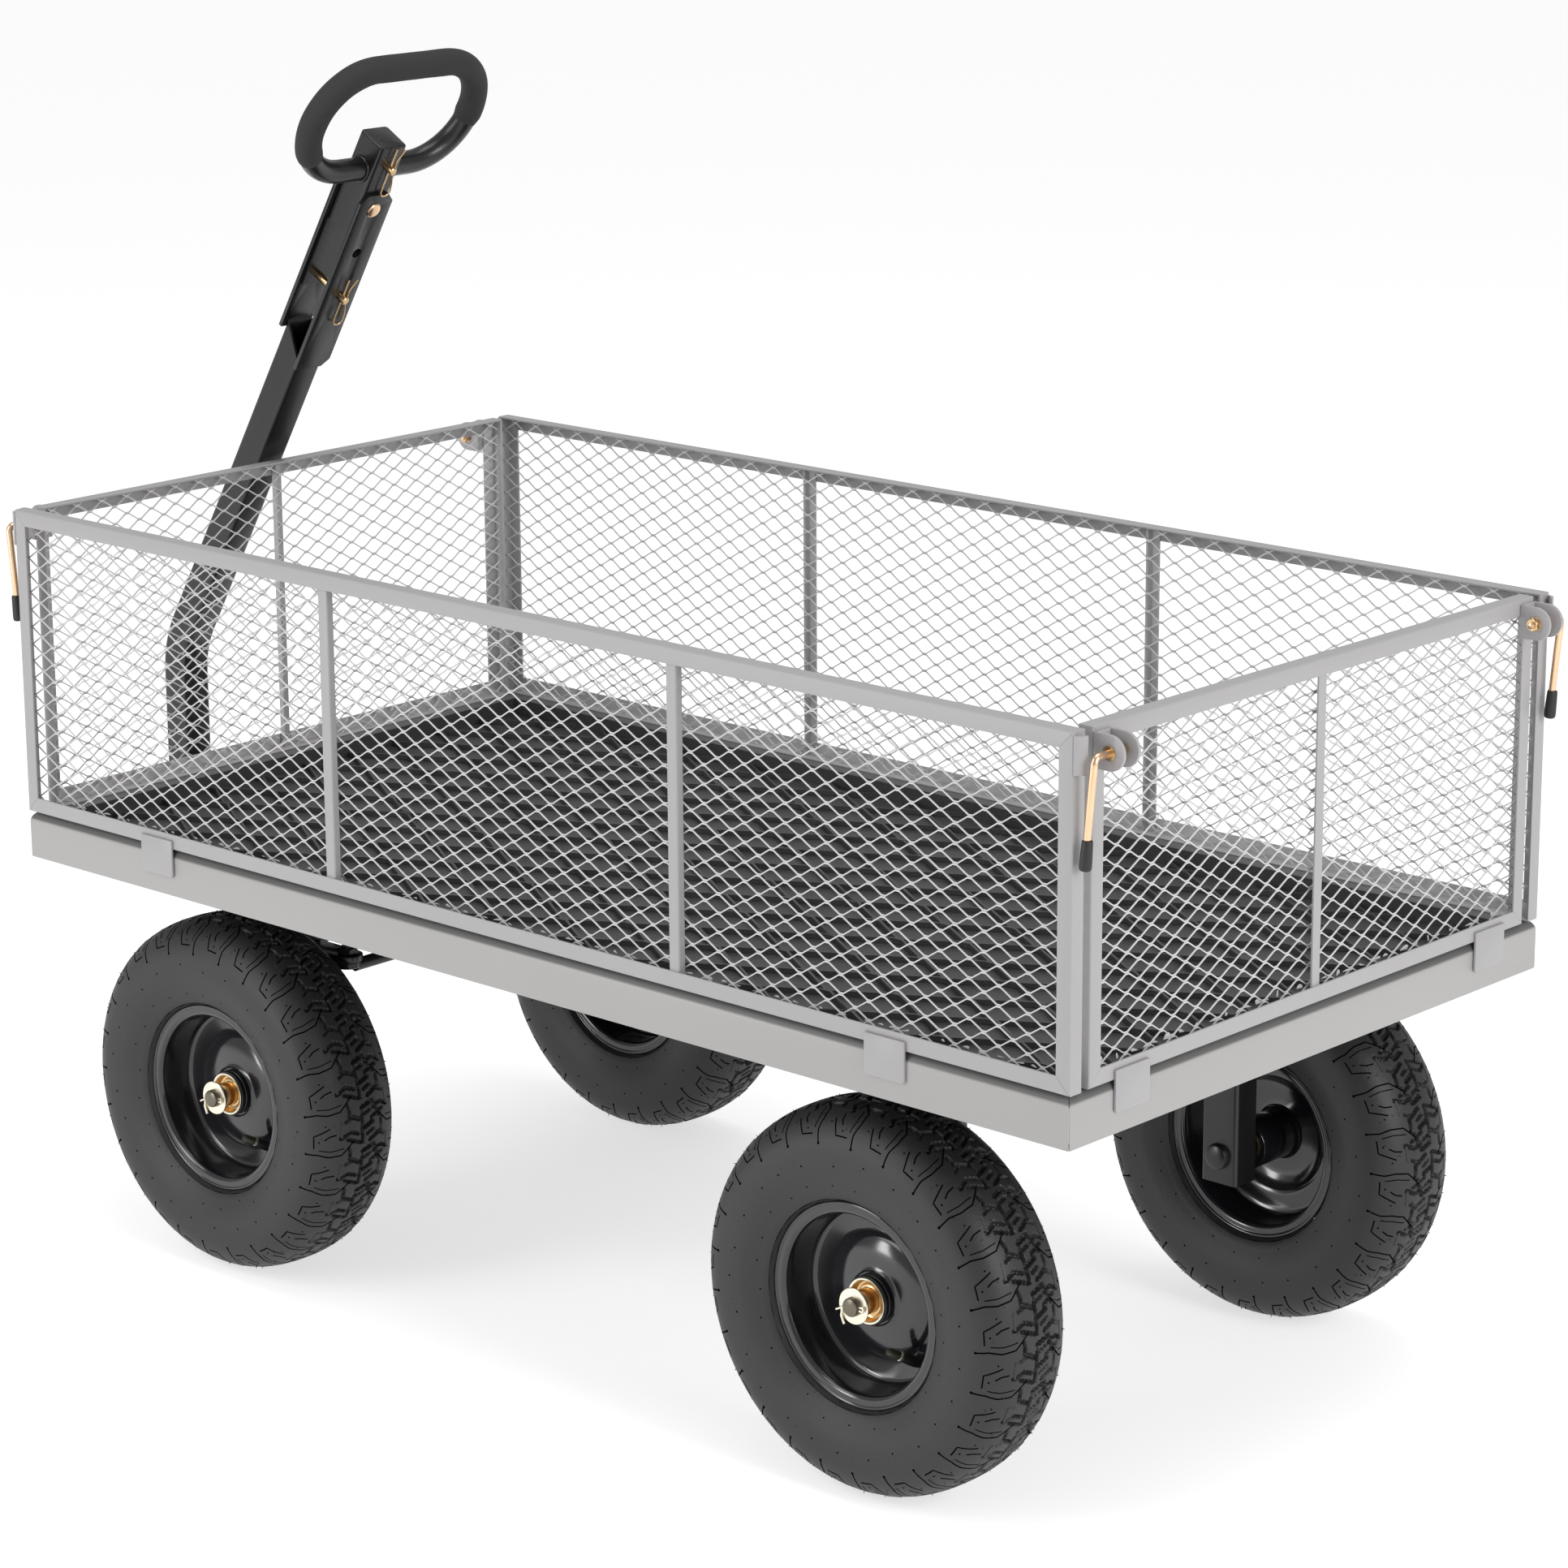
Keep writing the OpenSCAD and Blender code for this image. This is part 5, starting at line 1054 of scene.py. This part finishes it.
# %% Steering knuckles
DRAG, TIE, ARM_R, ARM_T, ARM_HOLE, ARM_BEVEL = 60.0, 70.0, 14, 6, 6.1, 0.7
TIE_ARM, DRAG_ARM = capsule((0, 0), (TIE, 0), ARM_R), capsule((0, 0), (0, DRAG), ARM_R)
for hand, side in HANDS.items():
    x, y, bm = -AXLE_X, side * KING_Y, bmesh.new()
    leg(bm, x, y, BEAM_Z - 7.5)
    pin(bm, (x, y, ARM_Z + ARM_T), (x, y, BEAM_Z - 0.4), 15, 0.6, 48)
    plate(bm, TIE_ARM, [(TIE, 0, ARM_HOLE)], ARM_T, shift(x, y, ARM_Z), ARM_BEVEL)
    if side < 0:
        plate(bm, DRAG_ARM, [(0, DRAG, ARM_HOLE + 0.5)], ARM_T - 0.1, shift(x, y, ARM_Z + 0.05), ARM_BEVEL)
    painted(f"knuckle_{hand}", bm, f"{hand}_knuckle")
    bm = bmesh.new()
    hexagon(bm, (x, y, TOP_Z + 0.35), (x, y, TOP_Z + 7.2), 24)
    pin(bm, (x, y, ARM_Z + 0.4), (x, y, TOP_Z + 0.6), PIVOT_PIN_R)
    painted(f"kingpin_{hand}", bm, f"{hand}_knuckle")
print("tie arms", TIE, "mm, drag arm", DRAG, "mm")

# %% Steering rods
LINK_R = 5.9
LINKS = (("drag_link", (TONGUE_X, DRAG), (-AXLE_X, DRAG - KING_Y)),
         ("tie_rod", (TIE - AXLE_X, -KING_Y), (TIE - AXLE_X, KING_Y)))
for name, start, end in LINKS:
    link_z = under(name) + LINK_R + 0.05
    bm, ends = bmesh.new(), [Vector((*point, link_z)) for point in (start, end)]
    way = (ends[1] - ends[0]).normalized() * 8
    rod(bm, [ends[0] + way, ends[1] - way], LINK_R, 24)
    for x, y, z in ends:
        pin(bm, (x, y, z + 0.6), (x, y, ARM_Z - 0.35), 12, 0.8, 48)
        pin(bm, (x, y, z + 1), (x, y, z + 20.8), LINK_R, 0.8)
        hexagon(bm, (x, y, z + 13.15), (x, y, z + 19), 17, bore=LINK_R - 0.1)
    painted(name, bm, name)
    print(name, "at", round(link_z, 1), "mm, length", round((ends[1] - ends[0]).length, 1), "mm")

# %% Tongue
HINGE_X, HINGE_Z, CHEEK_Y, CHEEK_T, HINGE_PIN_R = -762.0, 265.0, 16.75, 4, 5.9
HINGE = Vector((HINGE_X, 0, HINGE_Z))
CHEEK = arc(0, 0, 20, 90, 270, 24) + [(54, -20), (54, 27), (14, 27)]
BASE = [(-61, -16.7), (-10, -16.7), (-10, 16.7), (-61, 16.7)]
bm = bmesh.new()
plate(bm, circle(28, 64), [(0, 0, BORE)], ARM_T, shift(TONGUE_X, 0, ARM_Z), ARM_BEVEL)
plate(bm, DRAG_ARM, [(0, DRAG, ARM_HOLE)], ARM_T - 0.1, shift(TONGUE_X, 0, ARM_Z + 0.05), ARM_BEVEL)
plate(bm, BASE, [], ARM_T - 0.2, shift(TONGUE_X, 0, ARM_Z + 0.1), ARM_BEVEL)
pin(bm, (TONGUE_X, 0, ARM_Z + 5), (TONGUE_X, 0, BEAM_Z - 0.4), 18, 0.6, 48, bore=BORE)
for y in (CHEEK_Y + CHEEK_T, -CHEEK_Y):
    plate(bm, CHEEK, [(0, 0, ARM_HOLE)], CHEEK_T, shift(*HINGE) @ upright(y), 0.6)
painted("tongue", bm, "steering_tongue")
bm = bmesh.new()
hexagon(bm, HINGE - 20.8 * Y, HINGE - 26.6 * Y, 18)
hexagon(bm, HINGE + 20.8 * Y, HINGE + 27.6 * Y, 18, bore=HINGE_PIN_R)
pin(bm, HINGE - 21 * Y, HINGE + 30.6 * Y, HINGE_PIN_R, 0.8)
painted("handle_bolt", bm, "steering_tongue")
print("hinge", HINGE_X, HINGE_Z)

# %% [markdown]
# ## Pull handle
# The handle is one square tube with a single bend, so it is swept along its own centre line. Two
# cheek plates on its top form a clip. A short tube with a D loop sits in it on a rivet and a pin
# with a spring clip, and can be flipped to make a tow hitch. The loop is bent round tube, and its
# cross bar wears a sleeve of soft foam, a little uneven and pinched at its ends.

# %% Handle tube and hitch
LEAN_DEGREES, UPPER, BEND_Z, BEND_R, TUBE, TUBE_WALL = 30.6, 542.0, 478.0, 100.0, 32, 2.5
LEAN, TUBE_END = math.radians(LEAN_DEGREES), 164
RIVET = Vector((HINGE_X + UPPER * math.sin(LEAN), 0, BEND_Z + UPPER * math.cos(LEAN)))
HANDLE = shift(*RIVET) @ Matrix.Rotation(LEAN, 4, "Y")
bend = arc(HINGE_X + BEND_R, BEND_Z - BEND_R * math.tan(LEAN / 2), BEND_R, 180, 180 - LEAN_DEGREES, 16)
path = [(HINGE_X, 0, HINGE_Z - TUBE / 2)] + [(x, 0, z) for x, z in bend] + [HANDLE @ (-TUBE_END * Z)]
bm = bmesh.new()
square_tube(bm, TUBE, TUBE, TUBE_WALL, path, Y, 4.0, cut_end=14 / 16)
painted("handle_tube", bm, "pull_handle", "handle_shaft", angle=40)

CLIP_HOLES, CLIP_T = [(0, 0, 6.1), (0, -49, 5.0), (0, -98, 4.1)], 3.95
bm = bmesh.new()
for x, foot in ((16.05, -183), (-20.0, -158)):
    outline = [(-20, foot), (12, foot), (20, foot + 8), (20, 9), (12, 17), (-12, 17), (-20, 9)]
    plate(bm, outline, CLIP_HOLES, CLIP_T, frame_of((x, 0, 0), Y, Z, X), 0.7)
for x, low, high in ((16.6, -178, -151), (-16.6, -152, -148)):
    for y in (-15.4, 15.4):
        weld(bm, (x, y, low), (x, y, high), 0.9, f"hitch{x}{y}")
painted("hitch_cheeks", bm, "pull_handle", "hitch_bracket", place=HANDLE)
print("handle lean", LEAN_DEGREES, "degrees, rivet at", [round(value, 1) for value in RIVET])

# %% Grip tube and loop
TINE = [(-16, 0.8), (-15.2, 0), (15.2, 0), (16, 0.8), (16, 2.5), (-16, 2.5)]
CAP_NUB = [(0, 0), (7.2, 0), (7.0, 0.5), (6.0, 0.62), (0, 0.62)]
LOOP_R, LOOP_Y, LOOP_Z, LOOP_FOOT, LOOP_TUBE_R = 56, 42, 91, 35, 10.9


def corner(side, start, end, step):
    """One of the grip loop's two bends, as points from one angle to another."""
    points = arc(0, LOOP_Z, LOOP_R, start, end, abs(end - start) // step)
    return [(0, side * LOOP_Y + y, z) for y, z in points]


bm = bmesh.new()
square_tube(bm, TUBE, TUBE, TUBE_WALL, [(0, 0, -31), (0, 0, 66.4)], Y, 3.2)
for sign in (-1, 1):
    bar(bm, TINE, (sign * 15.95, 0, -108), (sign * 15.95, 0, -30.5), Y, -sign * X)
plate(bm, rounded(31.6, 31.6, 3.2), [], 2.6, shift(0, 0, 65.4), 0.8)
lathe(bm, CAP_NUB, 40, place=towards((0, 0, 67.98), (0, 0, 70)))
painted("grip_tube", bm, "pull_handle", angle=38, place=HANDLE)

bm = bmesh.new()
route = [(0, 15.6, LOOP_FOOT)] + corner(1, -90, 90, 6) + corner(-1, 90, 270, 6) + [(0, -15.6, LOOP_FOOT)]
rod(bm, route, LOOP_TUBE_R, 32)
for y in (-16.6, 16.6):
    weld_ring(bm, 11.5, 1.5, shift(0, y, LOOP_FOOT))
painted("grip_loop", bm, "pull_handle", angle=60, place=HANDLE)
print("loop", 2 * (LOOP_Y + LOOP_R + LOOP_TUBE_R), "mm wide")

# %% Foam sleeve
FOAM_R, SWELL = 12.45, 0.12
straight = [(0, y, LOOP_Z + LOOP_R) for y in range(40, -41, -2)]
sleeve = corner(1, -14, 90, 2) + straight + corner(-1, 90, 220, 2)
radii = [FOAM_R + SWELL * math.sin(i * 0.31) * math.sin(i * 0.07 + 1) for i in range(len(sleeve))]
radii[:4], radii[-4:] = [11.0, 11.4, 11.8, 12.2], [12.3, 12.1, 11.8, 11.1]
bm = bmesh.new()
rod(bm, sleeve, FOAM_R, 48, radii)
foam = finish_piece("grip_foam", bm, "pull_handle", FOAM, angle=70, place=HANDLE)
print("foam faces", len(foam.data.polygons))

# %% Rivet, pins and spring clips
RIVET_HEAD = [(0, 0), (7.5, 0), (7.5, 0.7), (6.6, 1.6), (4.6, 2.3), (2.2, 2.6), (0, 2.7)]
PIN_HEAD = [(0, 0), (4.6, 0), (6.6, 0.8), (6.9, 2.0), (6.2, 3.3), (3.6, 4.0), (0, 4.1)]
PINS, PIN_BODY_R, CLIP_WIRE_R, CLIP_BEND = ((-98, 20.0), (47, 16.0)), 3.95, 0.95, 5.6
CLIP_ARM = ((9.6, -18), (6.6, -9), (5.2, -4), (5.8, 0), (5.2, 4), (6.0, 10), (11.0, 20))
bm = bmesh.new()
for sign in (-1, 1):
    lathe(bm, RIVET_HEAD, 40, place=towards((sign * 20, 0, 0), (sign * 24, 0, 0)))
finish_piece("grip_rivet", bm, "pull_handle", COPPER, place=HANDLE)
bm = bmesh.new()
for z, face in PINS:
    x = face + 4
    pin(bm, (-face - 1, 0, z), (face + 9.8, 0, z), PIN_BODY_R, 0.9, 28)
    lathe(bm, PIN_HEAD, 32, place=towards((-face, 0, z), (-face - 4, 0, z)))
    clip = [(x, 0, z + 21)] + [(x, y, height) for y, height in arc(CLIP_BEND, z - 26, CLIP_BEND, 180, 360, 9)]
    clip += [(x, y, z + up) for y, up in CLIP_ARM]
    rod(bm, clip, CLIP_WIRE_R, 10)
finish_piece("hitch_pins", bm, "pull_handle", GOLD, angle=40, place=HANDLE)
print("hitch pins", len(PINS))

# %% [markdown]
# ## Studio
# The cart stands on a pale floor in a white room, lit by large soft boxes from the front, the
# right and above, with a long lens. The floor gives off a little light of its own, so that the
# shadow under the cart stays soft and light.

# %% White room and floor
scene = bpy.context.scene
scene.view_settings.view_transform = "Standard"
world = bpy.data.worlds.new("Studio")
scene.world = world
world.use_nodes = True
room = world.node_tree.nodes["Background"]
room.inputs["Color"].default_value = (1, 1, 1, 1)
seen = world.node_tree.nodes.new("ShaderNodeLightPath").outputs["Is Camera Ray"]
world.node_tree.links.new(math_node(world.node_tree, "MULTIPLY_ADD", seen, 0.5, 0.5), room.inputs["Strength"])

ground = bmesh.new()
bmesh.ops.create_grid(ground, x_segments=1, y_segments=1, size=20)
mesh = bpy.data.meshes.new("studio_floor")
ground.to_mesh(mesh)
ground.free()
studio_floor = bpy.data.objects.new("studio_floor", mesh)
scene.collection.objects.link(studio_floor)
pale_floor = bpy.data.materials.new("Pale floor")
pale_floor.use_nodes = True
set_inputs(pale_floor.node_tree.nodes["Principled BSDF"],
           ("Base Color", "Roughness", "Specular IOR Level", "Emission Color", "Emission Strength"),
           ((0.62, 0.62, 0.625, 1), 0.7, 0.1, (1, 1, 1, 1), 0.64))
mesh.materials.append(pale_floor)
print("floor", [round(side) for side in studio_floor.dimensions], "m")


# %% Soft boxes and camera
def softbox(name, place, aim, size, power):
    light = bpy.data.lights.new(name, "AREA")
    light.shape, light.size, light.size_y, light.energy = "RECTANGLE", size[0], size[1], power
    lamp = bpy.data.objects.new(name, light)
    lamp.location = place
    lamp.rotation_euler = (Vector(aim) - Vector(place)).to_track_quat("-Z", "Y").to_euler()
    scene.collection.objects.link(lamp)


softbox("key_light", (-1.2, -3.2, 2.8), (0, 0, 0.3), (2.2, 2.2), 42)
softbox("strip_light", (-1.55, -3.3, 0.75), (0.4, -0.3, 0.2), (0.55, 1.3), 24)
softbox("right_light", (3.7, -0.2, 1.7), (0, 0, 0.3), (1.4, 1.8), 58)
softbox("top_light", (0.4, 0.2, 4.2), (0, 0, 0.3), (2.6, 2.6), 54)

# The camera's own axes: its right, its up and the way back from what it sees.
EYE, RIGHT = (2.78905, -2.91731, 1.53726), (0.73727, 0.67557, -0.00579)
UP, BACK = (-0.17063, 0.19449, 0.96595), (0.65370, -0.71118, 0.25866)
camera = bpy.data.objects.new("Camera", bpy.data.cameras.new("Camera"))
camera.data.lens, camera.data.sensor_width, camera.data.clip_end = 107.34, 36, 100
camera.matrix_world = frame_of(EYE, RIGHT, UP, BACK)
scene.collection.objects.link(camera)
scene.camera = camera
print("lens", round(camera.data.lens, 1), "mm, distance", round(Vector(EYE).length, 2), "m")

# %% Finish
pieces = [o for o in scene.objects if o.type == "MESH"]
print("triangles", sum(len(face.vertices) - 2 for piece in pieces for face in piece.data.polygons))
write_size()
